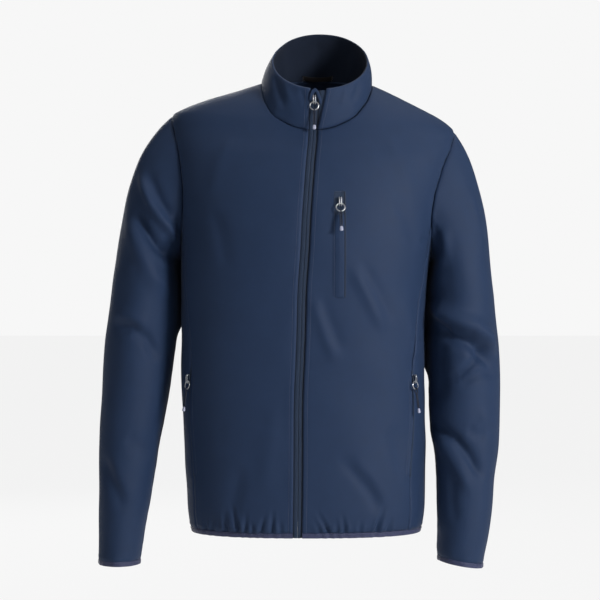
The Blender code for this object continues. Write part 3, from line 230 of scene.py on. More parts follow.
def foldHeights(points, facing, folds, strength=1.0):
    # strength * rise * exp(-(distance to the line / width)^2), faded in and out along the line
    height = np.zeros(points.shape[:-1])
    for face, rise, before, behind, line in folds:
        line = np.array(line, float)
        run = np.diff(line, axis=0)
        size = np.linalg.norm(run, axis=1)
        start = np.concatenate(([0], np.cumsum(size)))
        rel = points[..., None, (0, 2)] - line[:-1]
        t = np.clip(np.sum(rel * run, axis=-1) / size**2, 0, 1)
        off = rel - t[..., None] * run
        distance = np.linalg.norm(off, axis=-1)
        near = np.argmin(distance, axis=-1)[..., None]
        distance = np.take_along_axis(distance, near, -1)[..., 0]
        side = np.take_along_axis(off[..., 0] * run[:, 1] - off[..., 1] * run[:, 0], near, -1)[..., 0]
        along = np.take_along_axis((start[:-1] + t * size) / start[-1], near, -1)[..., 0]
        width = np.where(side > 0, before, behind)
        fade = np.ones(along.shape)
        for toEnd in (along, 1 - along):
            fade = fade * smoothStep(toEnd / foldStrength["endFade"] + foldStrength["endLeft"])
        height += strength * rise * fade * bell(distance, width) * shownShare(face, facing)
    return height


def gatherHeights(points, facing):
    # creases that rise from the hem binding, nearly flat where they are sewn to it, and fade out
    look = gatherLook
    height = np.zeros(points.shape[:-1])
    above = points[..., 2] - hemHeight - bindingHeight
    sewn = look["sewn"] + (1 - look["sewn"]) * smoothStep(above / look["sewnOver"])
    for xLow, xHigh, length, depth, face in hemGathers:
        up = above / length
        x = xLow + (xHigh - xLow) * np.clip(up, 0, 1)
        fade = np.clip(1 - up, 0, 1) ** look["fade"]
        off = (points[..., 0] - x) / look["width"]
        crease = bell(off, 1.0) - look["roll"] * bell(np.abs(off) - look["rollAt"], look["rollWidth"])
        height -= depth * fade * crease * shownShare(face, facing)
    return look["strength"] * sewn * height


def unevenness(points, seed, size, shortest=45.0, longest=160.0):
    # a few plane waves of seeded direction and length, added up
    waves = 9
    rng = np.random.default_rng(seed)
    height = np.zeros(points.shape[:-1])
    for _ in range(waves):
        way = unit(rng.normal(size=3))
        wave = rng.uniform(shortest, longest)
        height += np.sin(points @ way * (2 * math.pi / wave) + rng.uniform(0, 6.3)) * wave / longest
    return height * size / math.sqrt(waves)


def body(angle, z):
    # the figure plus its folds and hem gathers, along the figure's normal
    base = torso(angle, z)
    out = normalsOf(torso, angle, z, *torsoStep)
    rise = foldHeights(base, out, bodyFolds, foldStrength["body"]) + gatherHeights(base, out)
    return base + rise[..., None] * out


def bodyNormals(angle, z):
    # outward directions of the figure with its folds
    return normalsOf(body, angle, z, *bodyStep)


def blendPatch(bottom, top, left, right):
    # Coons patch: the two ruled sheets between opposite edges, less the corners' bilinear sheet
    u = np.linspace(0, 1, len(bottom))[None, :, None]
    v = np.linspace(0, 1, len(left))[:, None, None]
    edges = (1 - v) * bottom[None] + v * top[None] + (1 - u) * left[:, None] + u * right[:, None]
    corners = ((1 - u) * (1 - v) * bottom[0] + u * (1 - v) * bottom[-1]
               + (1 - u) * v * top[0] + u * v * top[-1])
    return edges - corners


def spreadAt(angle, z, face):
    # front-view x, plus 1.5 for each degree so that it still grows where the figure turns away
    return -face * torso(angle, z)[..., 0] + 1.5 * angle


def blendOnTorso(bottom, top, left, right, face):
    # the patch in (front-view x + 1.5 * angle, height), turned back into angle by halving an interval
    edges = (bottom, top, left, right)
    flat = [np.stack([spreadAt(edge[:, 0], edge[:, 1], face), edge[:, 1]], axis=-1) for edge in edges]
    spread, z = np.moveaxis(blendPatch(*flat), -1, 0)
    low = np.full(z.shape, 90.0 * face)
    high = low + 180.0
    for _ in range(24):
        angle = (low + high) / 2
        short = spreadAt(angle, z, face) < spread
        low = np.where(short, angle, low)
        high = np.where(short, high, angle)
    grid = np.stack([angle, z], axis=-1)
    grid[0], grid[-1], grid[:, 0], grid[:, -1] = edges
    return grid


def edgeDistances(points):
    # for each grid point its distance along the grid lines to the left, right, bottom and top edges
    across = np.linalg.norm(np.diff(points, axis=1), axis=-1)
    along = np.linalg.norm(np.diff(points, axis=0), axis=-1)
    left = np.concatenate([np.zeros((len(points), 1)), np.cumsum(across, axis=1)], axis=1)
    bottom = np.concatenate([np.zeros((1, points.shape[1])), np.cumsum(along, axis=0)])
    return left, left[:, -1:] - left, bottom, bottom[-1:] - bottom


seamLook = {"groove": 2.2, "roll": 0.3, "rollAt": 5.0, "rollWidth": 2.6, "puckerFade": 6.0, "worn": 2.0}


def seamRelief(distance, position, depth, pucker):
    # a groove at the seam, a low roll beside it and small uneven puckers that die out in 12 mm
    look = seamLook
    groove = -depth * bell(distance, look["groove"])
    roll = look["roll"] * depth * bell(distance - look["rollAt"], look["rollWidth"])
    beat = (np.sin(position / 2.9 + 1.7 * np.sin(position / 23.0)) + np.sin(position / 4.7 + 2.0)
            + np.sin(position / 8.3))
    return groove + roll + pucker * beat / 3 * np.exp(-distance / look["puckerFade"])


def nearness(*distances):
    # exp(-least distance / width): 1 at a seam, 0 away from it
    return np.exp(-np.minimum.reduce(distances) / seamLook["worn"])


class Wire:
    # one socket of a material; sums and products of wires become Math nodes
    def __init__(self, finish, socket):
        self.finish = finish
        self.socket = socket

    def maths(self, operation, *others):
        return self.finish.node("ShaderNodeMath", {"operation": operation}, self, *others)

    def __add__(self, other):
        return self.maths("ADD", other)

    def __radd__(self, other):
        return self.maths("ADD", other)

    def __sub__(self, other):
        return self.maths("SUBTRACT", other)

    def __rsub__(self, other):
        return self.finish.node("ShaderNodeMath", {"operation": "SUBTRACT"}, other, self)

    def __mul__(self, other):
        return self.maths("MULTIPLY", other)

    def __rmul__(self, other):
        return self.maths("MULTIPLY", other)

    def __truediv__(self, other):
        return self.maths("DIVIDE", other)

    def __pow__(self, other):
        return self.maths("POWER", other)


class Finish:
    # a Principled material; fixed values go straight on its sockets
    def __init__(self, name, color, roughness, **fixed):
        self.material = bpy.data.materials.new(name)
        self.material.use_nodes = True
        self.tree = self.material.node_tree
        self.shader = self.tree.nodes["Principled BSDF"]
        self.shader.inputs["Base Color"].default_value = (*color, 1.0)
        self.shader.inputs["Roughness"].default_value = roughness
        for key, value in fixed.items():
            self.shader.inputs[key.replace("_", " ")].default_value = value
        self.material.diffuse_color = (*color, 1.0)

    def node(self, kind, settings, *sockets, out=0, **named):
        made = self.tree.nodes.new(kind)
        for key, value in settings.items():
            setattr(made, key, value)
        byName = [(key.replace("_", " "), value) for key, value in named.items()]
        for key, value in list(enumerate(sockets)) + byName:
            if isinstance(value, Wire):
                self.tree.links.new(value.socket, made.inputs[key])
            else:
                made.inputs[key].default_value = value
        return Wire(self, made.outputs[out])

    def place(self, kind="Object"):
        return self.node("ShaderNodeTexCoord", {}, out=kind)

    def attribute(self, name):
        return self.node("ShaderNodeAttribute", {"attribute_name": name}, out="Fac")

    def noise(self, where, scale, detail=2.0, roughness=0.5):
        return self.node("ShaderNodeTexNoise", {}, Vector=where, Scale=scale, Detail=detail,
                         Roughness=roughness)

    def mix(self, part, first, second):
        made = self.tree.nodes.new("ShaderNodeMix")
        made.data_type = "RGBA"
        for key, value in (("Factor", part), ("A", first), ("B", second)):
            kind = "VALUE" if key == "Factor" else "RGBA"
            spot = [s for s in made.inputs if s.name == key and s.type == kind][0]
            if isinstance(value, Wire):
                self.tree.links.new(value.socket, spot)
            else:
                spot.default_value = value if key == "Factor" else (*value, 1.0)
        return Wire(self, [s for s in made.outputs if s.type == "RGBA"][0])

    def split(self, where):
        made = self.tree.nodes.new("ShaderNodeSeparateXYZ")
        self.tree.links.new(where.socket, made.inputs[0])
        return [Wire(self, made.outputs[k]) for k in range(3)]

    def feed(self, key, wire):
        self.tree.links.new(wire.socket, self.shader.inputs[key])

    def bump(self, height, distance, strength=1.0):
        self.feed("Normal", self.node("ShaderNodeBump", {}, out="Normal", Height=height,
                                      Distance=distance, Strength=strength))


clothLook = {
    "color": (0.0185, 0.0395, 0.096),
    "shade": (0.0135, 0.0310, 0.078),
    "worn": (0.036, 0.060, 0.128),
    "roughness": 0.62,
    "knitPitch": 0.00085,
    "sheen": 0.04,
}


def clothFinish(name, look):
    # fine square knit on the cloth's own coordinates, mottled dye, paler cloth along worn seam edges
    finish = Finish(name, look["color"], look["roughness"], Sheen_Weight=look["sheen"],
                    Sheen_Roughness=0.45, Specular_IOR_Level=0.22)
    u, v, _ = finish.split(finish.place("UV"))
    turn = 2 * math.pi / look["knitPitch"]
    knit = (u * turn).maths("SINE") * (v * turn * 0.8).maths("SINE")
    where = finish.place()
    mottle = finish.noise(where, 60.0, 3.0, 0.6)
    flecks = finish.noise(where, 900.0, 2.0, 0.7)
    dye = finish.mix(mottle * 0.9 + flecks * 0.5 - 0.2, look["shade"], look["color"])
    edge = finish.attribute("seamWearAndPaintedShade") * (0.05 + 0.3 * flecks)
    finish.feed("Base Color", finish.mix(edge, dye, look["worn"]))
    finish.feed("Roughness", look["roughness"] - 0.08 + 0.16 * mottle)
    finish.bump(knit * 0.5 + flecks * 0.9 + mottle * 0.6, 0.00012, 0.55)
    return finish.material


# the edge colour is the near-black of the painted shade where the tape dips behind a fold, and the strength
# beside it sets how much of that shade is painted in
tapeLook = {"roughness": 0.62, "fleckDark": 0.55, "paintedShadeStrength": 0.85, "edge": (0.002, 0.003, 0.006)}


def tapeFinish(name, color, rib):
    # woven tape with fine ribs across it, darkened by painted shade where it dips behind a folded edge
    look = tapeLook
    finish = Finish(name, color, look["roughness"], Sheen_Weight=0.03, Sheen_Roughness=0.5,
                    Specular_IOR_Level=0.25)
    u, v, _ = finish.split(finish.place("UV"))
    ribs = (v * (2 * math.pi / rib)).maths("SINE")
    chain = ((u + v * 0.6) * (2 * math.pi / (rib * 1.3))).maths("SINE")
    flecks = finish.noise(finish.place(), 1500.0, 2.0, 0.6)
    dark = tuple(c * look["fleckDark"] for c in color)
    # the flecks are random tone; the ribs also darken the colour a little in their troughs, which is painted
    # shade
    dye = finish.mix(flecks * 0.6 + ribs * 0.15 + 0.2, dark, color)
    # painted shade: on a tape the seam mask marks where it dips behind a fold or under the cloth, and
    # darkens it there towards near-black
    hidden = finish.attribute("seamWearAndPaintedShade") * look["paintedShadeStrength"]
    finish.feed("Base Color", finish.mix(hidden, dye, look["edge"]))
    finish.feed("Roughness", 0.52 + 0.18 * flecks)
    finish.bump(ribs * 0.5 + chain * 0.3 + flecks * 0.5, 0.00018, 0.7)
    return finish.material


bindingLook = {"color": (0.036, 0.044, 0.112), "shade": (0.026, 0.032, 0.086),
               "worn": (0.048, 0.057, 0.138), "loops": (0.0011, 0.0013), "roughness": 0.5}


def bindingFinish(name):
    # stretch binding: lengthways rows of small loops with a slight shine
    look = bindingLook
    finish = Finish(name, look["color"], look["roughness"], Sheen_Weight=0.3, Sheen_Roughness=0.35,
                    Specular_IOR_Level=0.45)
    u, v, _ = finish.split(finish.place("UV"))
    across, along = look["loops"]
    loops = (u * (2 * math.pi / across)).maths("SINE") * (v * (2 * math.pi / along)).maths("SINE")
    mottle = finish.noise(finish.place(), 350.0, 2.0, 0.6)
    finish.feed("Base Color", finish.mix(mottle, look["shade"], look["worn"]))
    finish.feed("Roughness", 0.42 + 0.2 * mottle)
    finish.bump(loops * 0.6 + mottle * 0.5, 0.0002, 0.7)
    return finish.material


def metalFinish(name, color):
    # plated metal with faint scuffs
    finish = Finish(name, color, 0.26, Metallic=1.0)
    scuffs = finish.noise(finish.place(), 700.0, 4.0, 0.7)
    finish.feed("Roughness", 0.18 + 0.24 * scuffs)
    dull, bright = (tuple(share * c for c in color) for share in (0.84, 1.18))
    finish.feed("Base Color", finish.mix(scuffs, dull, bright))
    finish.bump(scuffs, 0.00003, 0.4)
    return finish.material


cordLook = {"color": (0.012, 0.018, 0.040), "hollowShade": (0.007, 0.011, 0.025), "strandHighlight": (0.019, 0.028, 0.058),
            "roughness": 0.65, "strands": 5200.0}


def cordFinish(name):
    # braid: two crossed sets of strands, with painted shade in its hollows and a painted highlight on its
    # raised strands
    look = cordLook
    finish = Finish(name, look["color"], look["roughness"], Sheen_Weight=0.02)
    x, y, z = finish.split(finish.place())
    braid = ((x + z) * look["strands"]).maths("SINE") * ((z - y) * look["strands"]).maths("SINE")
    finish.feed("Base Color", finish.mix(0.5 + 0.5 * braid, look["hollowShade"], look["strandHighlight"]))
    finish.bump(braid, 0.0002, 0.8)
    return finish.material


tipLook = {"color": (0.42, 0.44, 0.58), "dark": (0.36, 0.38, 0.52), "pale": (0.50, 0.52, 0.66),
           "roughness": 0.42}


def tipFinish(name):
    # matt moulded tip, slightly mottled
    look = tipLook
    finish = Finish(name, look["color"], look["roughness"], Specular_IOR_Level=0.5)
    grain = finish.noise(finish.place(), 1200.0, 3.0, 0.6)
    finish.feed("Base Color", finish.mix(grain, look["dark"], look["pale"]))
    finish.feed("Roughness", 0.34 + 0.2 * grain)
    finish.bump(grain, 0.00006, 0.5)
    return finish.material


def threadFinish(name, color):
    # twisted sewing thread, painted paler on the crests of its twist: painted highlight
    finish = Finish(name, color, 0.5, Sheen_Weight=0.2)
    x, y, z = finish.split(finish.place())
    twist = ((x + y + z) * 9000.0).maths("SINE")
    pale = tuple(c * 1.35 for c in color)
    finish.feed("Base Color", finish.mix(0.5 + 0.5 * twist, color, pale))
    finish.bump(twist, 0.00008, 0.6)
    return finish.material


clothMaterial = clothFinish("softshell_navy", clothLook)
liningMaterial = clothFinish("collar_lining_dark", {
    "color": (0.013, 0.021, 0.042), "shade": (0.009, 0.015, 0.032), "worn": (0.018, 0.028, 0.052),
    "roughness": 0.85, "knitPitch": 0.0014, "sheen": 0.1})
bindingMaterial = bindingFinish("stretch_binding")
tapeMaterial = tapeFinish("zip_tape_navy", (0.030, 0.053, 0.105), 0.0016)
metalMaterial = metalFinish("zip_metal", (0.60, 0.61, 0.63))
# the slider plate's dark metal is painted shade for the gap between the slider's rails
plateShadeMetal = metalFinish("zip_metal_painted_shade", (0.10, 0.12, 0.17))
cordMaterial = cordFinish("puller_cord_navy")
tipMaterial = tipFinish("puller_tip_light")
threadMaterial = threadFinish("thread_navy", (0.050, 0.066, 0.125))
paleThreadMaterial = threadFinish("thread_pale", (0.42, 0.42, 0.48))
loopMaterial = tapeFinish("hanger_loop_brown", (0.030, 0.024, 0.024), 0.0012)
print("stage: materials")


def gridFaces(rows, cols, wrap=False, ring=False):
    # quads of a grid; its last column joins the first where it wraps, its last row the first in a ring
    r, c = np.meshgrid(np.arange(rows if ring else rows - 1), np.arange(cols if wrap else cols - 1),
                       indexing="ij")
    r, c = r.ravel(), c.ravel()
    d, s = (c + 1) % cols, (r + 1) % rows
    return np.stack([r * cols + c, r * cols + d, s * cols + d, s * cols + c], axis=-1)


def turnedIn(points, outwards, near, edges, reach=0.16, depth=2.4):
    # two more rows past an edge: a little on towards the neighbouring piece, then in below the surface
    for edge in edges:
        axis, last = {"bottom": (0, 0), "top": (0, -1), "left": (1, 0), "right": (1, -1)}[edge]
        rim, inside = (np.take(points, [row], axis=axis) for row in (last, 1 if last == 0 else -2))
        out = np.take(outwards, [last], axis=axis)
        onward = unit(rim - inside)
        extra = [rim + reach * onward - 0.5 * out, rim + reach * onward - depth * out]
        order = (lambda kept, new: new[::-1] + [kept]) if last == 0 else (lambda kept, new: [kept] + new)
        rimNear = np.take(near, [last], axis=axis)
        points = np.concatenate(order(points, extra), axis=axis)
        outwards = np.concatenate(order(outwards, [out, out]), axis=axis)
        near = np.concatenate(order(near, [rimNear, rimNear]), axis=axis)
    return points, outwards, near


def placed(name, data):
    # a new object at the origin
    made = bpy.data.objects.new(name, data)
    bpy.context.scene.collection.objects.link(made)
    return made


def dressed(name, mesh, material, bodyName):
    # a smooth mesh with its material, riding its body
    mesh.validate()
    mesh.shade_smooth()
    mesh.materials.append(material)
    piece = placed(name, mesh)
    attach(piece, bodyName)
    return piece


def thicken(piece, thick):
    # the wall grows inwards from the surface
    shell = piece.modifiers.new("cloth", "SOLIDIFY")
    shell.thickness = thick * mm
    shell.offset = -1.0
    shell.use_even_offset = False


def gridPiece(name, points, material, wrap=False, thick=0.0, near=None, outwards=None,
              bodyName="jacket", turned=(), ring=False):
    # mesh from a grid of points, with cloth coordinates in metres and a per-point mask: the nearness of a
    # seam for wear on cloth, painted shade on the tapes
    near = np.zeros(points.shape[:2]) if near is None else np.asarray(near, float)
    if turned:
        points, outwards, near = turnedIn(points, outwards, near, turned)
    rows, cols = points.shape[:2]
    faces = gridFaces(rows, cols, wrap, ring)
    flat = points.reshape(-1, 3)
    if outwards is not None:
        a, b, c = flat[faces[:, 0]], flat[faces[:, 1]], flat[faces[:, 2]]
        if np.sum(np.cross(b - a, c - a) * outwards.reshape(-1, 3)[faces[:, 0]]) < 0:
            faces = faces[:, ::-1]
    mesh = bpy.data.meshes.new(name)
    mesh.vertices.add(len(flat))
    mesh.vertices.foreach_set("co", (flat * mm).astype(np.float32).ravel())
    mesh.loops.add(faces.size)
    mesh.loops.foreach_set("vertex_index", faces.astype(np.int32).ravel())
    mesh.polygons.add(len(faces))
    mesh.polygons.foreach_set("loop_start", np.arange(0, faces.size, 4, dtype=np.int32))
    mesh.update(calc_edges=True)
    left, _, bottom, _ = edgeDistances(points)
    uv = np.stack([left, bottom], axis=-1).reshape(-1, 2)[faces.ravel()] * mm
    mesh.uv_layers.new(name="cloth").data.foreach_set("uv", uv.astype(np.float32).ravel())
    mesh.attributes.new("seamWearAndPaintedShade", "FLOAT", "POINT").data.foreach_set(
        "value", near.ravel().astype(np.float32))
    piece = dressed(name, mesh, material, bodyName)
    if thick:
        thicken(piece, thick)
    return piece


frontPanel = {"neckSteps": 12, "shoulderSteps": 6, "lowerSteps": 15, "underSteps": 4, "armSteps": 8,
              "zipEdge": 7.0, "stitchFromFold": 6.5, "climb": (1.45, 0.45), "lip": (1.2, 1.1),
              "stitchDip": (0.35, 0.9), "edgeWave": (0.18, 7.0), "quietEdge": 18.0}


def edgeAngle(z, offset):
    # the angle that reaches an offset in mm from the zip: offset / half width
    half = smoothTable(torsoTable[:, 0], torsoTable[:, 2:3], z)[..., 0]
    return np.degrees(offset / half)


def neckLine():
    # the neck seam from the zip's edge, which it reaches in its first coarse cell
    neck = seamPoints(neckFront, frontPanel["neckSteps"] * fine)
    pull = np.clip(1 - np.arange(len(neck)) / fine, 0, 1)
    neck[:, 0] += (edgeAngle(neck[0, 1], frontPanel["zipEdge"]) - neck[0, 0]) * pull
    return neck


def acrossBack(line):
    # a line on the left half of the back, carried to the right half
    return np.stack([360 - line[..., 0], line[..., 1]], axis=-1)


def shoulderLine(height, steps):
    # even heights at a quarter turn, where front and back meet over the shoulder
    z = np.linspace(*height, steps + 1)
    return np.stack([np.full(steps + 1, 90.0), z], axis=-1)


def sideSeamPoints():
    # even heights from the hem band to the underarm, then even heights up to the armhole
    lower = np.linspace(hemHeight + bindingHeight, underarm, frontPanel["lowerSteps"] * fine + 1)
    upper = np.linspace(underarm, sideSeam[-1, 1], frontPanel["underSteps"] * fine + 1)[1:]
    z = np.concatenate([lower, upper])
    return np.stack([smoothTable(sideSeam[:, 1], sideSeam[:, 0], z)[..., 0], z], axis=-1)


def frontGrid(sign):
    # patch between the hem, the neck and shoulder, the zip edge, and the side seam with its armhole
    seam = sideSeamPoints()
    armSteps = frontPanel["armSteps"] * fine
    side = np.concatenate([seam, seamPoints(armFront[::-1], armSteps)[1:]])
    neck = neckLine()
    shoulder = shoulderLine((neckFront[-1, 1], armFront[0, 1]), frontPanel["shoulderSteps"] * fine)
    top = np.concatenate([neck, shoulder[1:]])
    climb = np.linspace(0, 1, armSteps + 1)[1:]
    climb = climb * (frontPanel["climb"][0] - frontPanel["climb"][1] * climb)
    zipZ = np.concatenate([seam[:, 1], seam[-1, 1] + (neck[0, 1] - seam[-1, 1]) * climb])
    zipEdge = np.stack([edgeAngle(zipZ, frontPanel["zipEdge"]), zipZ], axis=-1)
    hem = np.stack([np.linspace(zipEdge[0, 0], side[0, 0], len(top)),
                    np.full(len(top), hemHeight + bindingHeight)], axis=-1)
    return blendOnTorso(hem, top, zipEdge, side, -1) * (sign, 1.0)


def makeFront(name, sign):
    # the panel rolls over at the zip edge, dips at its seams and ripples between them
    grid = frontGrid(sign)
    points = body(grid[..., 0], grid[..., 1])
    out = bodyNormals(grid[..., 0], grid[..., 1])
    left, right, bottom, top = edgeDistances(points)
    rise = seamRelief(right, bottom, 0.8, 0.5)
    rise += seamRelief(top, left, 0.7, 0.35)
    rise += seamRelief(bottom, left, 0.6, 0.7)
    (lip, lipWidth), (dip, dipWidth) = frontPanel["lip"], frontPanel["stitchDip"]
    rise += -lip * bell(left, lipWidth) - dip * bell(left - frontPanel["stitchFromFold"], dipWidth)
    wave, waveFade = frontPanel["edgeWave"]
    rise += wave * np.sin(bottom / 5.3 + np.sin(bottom / 31.0)) * np.exp(-left / waveFade)
    quiet = smoothStep(np.minimum(left, right) / frontPanel["quietEdge"])
    rise += unevenness(points, 11 + sign, 1.0) * quiet
    near = nearness(left, right, bottom, top)
    shown = points + rise[..., None] * out
    piece = gridPiece(name, shown, clothMaterial, thick=wall, near=near, outwards=out,
                      turned=("left", "right", "bottom", "top"))
    return piece, shown, out


frontRight, frontRightPoints, frontRightOut = makeFront("front_right_cloth", -1)
frontLeft, frontLeftPoints, frontLeftOut = makeFront("front_left_cloth", 1)
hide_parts("front_right")
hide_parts("front_left")
print("stage: fronts")

backPanel = {"underSteps": 3, "neckSteps": 12, "shoulderSteps": 6, "armSteps": 10, "seamFrom": 20.0,
             "weld": 0.05}


def backPatches():
    # lower wrap, upper back, and the two small gores that reach forward under the arms
    side = sideSeamPoints()
    rowCount = frontPanel["lowerSteps"] * fine + 1
    seamAngle, rows = side[:rowCount].T
    start = seamAngle[-1]
    underSteps = backPanel["underSteps"] * fine
    shoulderSteps = backPanel["shoulderSteps"] * fine
    neckSteps = backPanel["neckSteps"] * fine
    backSteps = 2 * shoulderSteps + neckSteps
    under = armUnder[-1, 0]
    top = np.concatenate([np.linspace(start, under, underSteps + 1),
                          np.linspace(under, 360 - under, backSteps + 1)[1:],
                          np.linspace(360 - under, 360 - start, underSteps + 1)[1:]])
    v = np.linspace(0, 1, len(rows))[:, None]
    share = (top - start) / (360 - 2 * start)
    part = np.linspace(0, 1, len(top))[None, :] * (1 - v) + share[None, :] * v
    angle = seamAngle[:, None] + part * (360 - 2 * seamAngle[:, None])
    lower = np.stack([angle, np.broadcast_to(rows[:, None], angle.shape)], axis=-1)
    arm = seamPoints(armBack, backPanel["armSteps"] * fine)
    shoulder = shoulderLine((armBack[-1, 1], neckBack[0, 1]), shoulderSteps)
    neck = seamPoints(neckBack, neckSteps // 2)
    half = np.concatenate([shoulder, neck[1:]])
    edge = np.concatenate([half, acrossBack(half[::-1])[1:]])
    upper = blendOnTorso(lower[-1, underSteps:-underSteps], edge, arm, acrossBack(arm), 1)
    goreArm = seamPoints(armUnder, frontPanel["underSteps"] * fine)
    goreSeam = side[rowCount - 1:][::-1].copy()
    goreSeam[0] = goreArm[0]
    u = np.linspace(0, 1, underSteps + 1)[None, :, None]
    gore = goreSeam[:, None] * (1 - u) + goreArm[:, None] * u
    return [lower, upper, gore, acrossBack(gore)]


def makeBack():
    # the patches are joined into one mesh at their shared rows
    parts = []
    freeEdges = (("left", "right", "bottom"), ("left", "right", "top"), (), ())
    for index, patch in enumerate(backPatches()):
        points = body(patch[..., 0], patch[..., 1])
        out = bodyNormals(patch[..., 0], patch[..., 1])
        left, right, bottom, top = edgeDistances(points)
        rise = unevenness(points, 21, 1.2)
        near = np.zeros(points.shape[:2])
        if index == 0:
            rise += seamRelief(left, bottom, 0.8, 0.4) + seamRelief(right, bottom, 0.8, 0.4)
            rise += seamRelief(bottom, left, 0.6, 0.7)
            near = nearness(bottom, left, right)
        if index == 1:
            fade = smoothStep(bottom / backPanel["seamFrom"])
            rise += (seamRelief(left, bottom, 0.8, 0.5) + seamRelief(right, bottom, 0.8, 0.5)) * fade
            rise += seamRelief(top, left, 0.7, 0.3)
            near = nearness(top, left, right)
        parts.append(gridPiece("back_part_%d" % index, points + rise[..., None] * out, clothMaterial,
                               near=near, outwards=out, turned=freeEdges[index]))
    piece = parts[0]
    with bpy.context.temp_override(active_object=piece, selected_editable_objects=parts,
                                   selected_objects=parts, object=piece):
        bpy.ops.object.join()
    piece.name = piece.data.name = "back_cloth"
    weld = piece.modifiers.new("seams", "WELD")
    weld.merge_threshold = backPanel["weld"] * mm
    thicken(piece, wall)
    return piece


backCloth = makeBack()
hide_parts("back")
print("stage: back")

# sleeve tubes: z, middle x, middle y, half width, half depth
sleeves = {
    "right": {
        "sign": -1, "lean": (0.80, -0.60), "cuffSlope": 0.0,
        "pressed": {"rise": 10.5, "turn": 0.42, "width": 0.34, "top": -222.0, "foot": -366.0},
        "tube": np.array([
            (-280, -256.5, 4, 49.5, 73), (-330, -259.8, 3, 52.8, 70), (-368, -263.7, 2, 53.6, 68),
            (-441, -270.6, -2, 51.7, 62), (-532, -279.5, -12, 45.2, 55), (-608, -286.0, -22, 38.0, 49),
            (-684, -292.0, -31, 32.0, 43.5), (-700, -293.0, -33, 31.0, 43)]),
        "folds": [
            (-1, 6.6, 7, 10, [(-262, -108), (-254, -134), (-242, -164), (-224, -190), (-198, -222)]),
            (-1, -7.2, 8, 8, [(-272, -168), (-256, -194), (-236, -220), (-206, -250)]),
            (-1, -4.0, 8, 9, [(-256, -108), (-236, -150), (-212, -186)]),
            (-1, 4.6, 13, 12, [(-276, -178), (-266, -214), (-246, -258), (-218, -300)]),
            (-1, -4.6, 9, 7, [(-304, -340), (-270, -346), (-248, -362), (-228, -396)]),
            (-1, 2.2, 9, 11, [(-300, -322), (-272, -330), (-244, -344)]),
            (-1, -2.6, 10, 12, [(-318, -534), (-304, -568), (-280, -618)]),
            (-1, 1.6, 10, 12, [(-306, -528), (-290, -570), (-268, -606)]),
            (-1, -1.6, 12, 12, [(-282, -508), (-262, -520), (-240, -536)]),
            (-1, 1.5, 10, 10, [(-296, -250), (-300, -300), (-304, -350)]),
            (1, 5.0, 12, 14, [(-276, -118), (-250, -158), (-214, -206)]),
            (1, -5.0, 10, 14, [(-274, -208), (-248, -234), (-216, -262)]),
            (1, -4.8, 11, 13, [(-310, -326), (-272, -340), (-232, -354)]),
            (1, -4.4, 11, 13, [(-314, -388), (-276, -378), (-236, -368)]),
            (1, -3.4, 12, 12, [(-300, -456), (-270, -442), (-242, -426)]),
            (1, 2.4, 12, 12, [(-318, -356), (-280, -362), (-240, -362)]),
            (1, -2.2, 10, 10, [(-306, -560), (-284, -590), (-268, -630)]),
        ]},
    "left": {
        "sign": 1, "lean": (0.62, -0.78), "cuffSlope": -0.17,
        "pressed": {"rise": 10.5, "turn": 0.42, "width": 0.33, "top": -232.0, "foot": -430.0},
        "tube": np.array([
            (-280, 223.2, 4, 48.6, 71), (-304, 225.0, 3, 50.2, 70), (-368, 227.0, 2, 53.0, 68),
            (-441, 228.6, 0, 54.2, 64), (-501, 228.2, -6, 52.8, 58), (-532, 229.5, -10, 49.4, 55),
            (-575, 228.0, -16, 44.0, 51), (-608, 227.0, -20, 41.6, 48), (-654, 224.0, -25, 37.6, 45),
            (-684, 220.5, -29, 35.0, 42.5), (-700, 219.0, -31, 34.0, 42)]),
        "folds": [
            (-1, 9.0, 7, 14, [(166, -302), (189, -325), (211, -335), (237, -345), (256, -359), (276, -388)]),
            (-1, -9.0, 12, 7, [(172, -332), (202, -357), (231, -367), (254, -382), (274, -412)]),
            (-1, -4.4, 6, 7, [(190, -424), (216, -417), (243, -392), (262, -372)]),
            (-1, -3.4, 6, 6, [(214, -430), (243, -414), (280, -414)]),
            (-1, -4.0, 12, 12, [(183, -360), (187, -410), (186, -462)]),
            (-1, -6.0, 6, 9, [(166, -484), (208, -512), (231, -539), (252, -572)]),
            (-1, 3.5, 10, 11, [(178, -502), (212, -550), (236, -596)]),
            (-1, 2.5, 7, 9, [(194, -190), (195, -237), (183, -261), (188, -298)]),
            (-1, 1.6, 9, 11, [(234, -130), (246, -180), (254, -240)]),
            (-1, -1.8, 8, 9, [(206, -560), (204, -600), (210, -640)]),
            (-1, 1.6, 8, 8, [(244, -470), (262, -486), (280, -498)]),
            (-1, -1.7, 7, 7, [(226, -496), (242, -504), (258, -506)]),
            (1, 4.2, 12, 14, [(248, -116), (224, -156), (188, -204)]),
            (1, -5.0, 11, 13, [(252, -206), (224, -236), (188, -266)]),
            (1, -5.8, 12, 12, [(284, -328), (236, -344), (188, -352)]),
            (1, -4.8, 12, 12, [(282, -404), (238, -388), (194, -376)]),
            (1, 3.0, 12, 12, [(280, -366), (238, -366), (196, -364)]),
            (1, -3.8, 12, 12, [(272, -492), (232, -512), (190, -528)]),
            (1, -2.2, 10, 10, [(230, -574), (220, -606), (216, -642)]),
        ]},
}
sleeveForm = {"headSteps": 6, "tubeSteps": 13, "top": -280.0, "cuff": -700.0, "slopeFrom": 300.0,
              "slopeOver": 100.0, "pressedIn": 16.0, "pressedOut": 30.0, "foldsOver": 1.5,
              "underSeamFrom": 30.0, "quietEdge": 14.0}


def awayFromPanel(points, out, closed):
    # in the surface and square to its edge: outward direction x run of the edge
    if closed:
        run = np.roll(points, -1, axis=0) - np.roll(points, 1, axis=0)
    else:
        run = np.gradient(points, axis=0)
    return unit(np.cross(out, run))


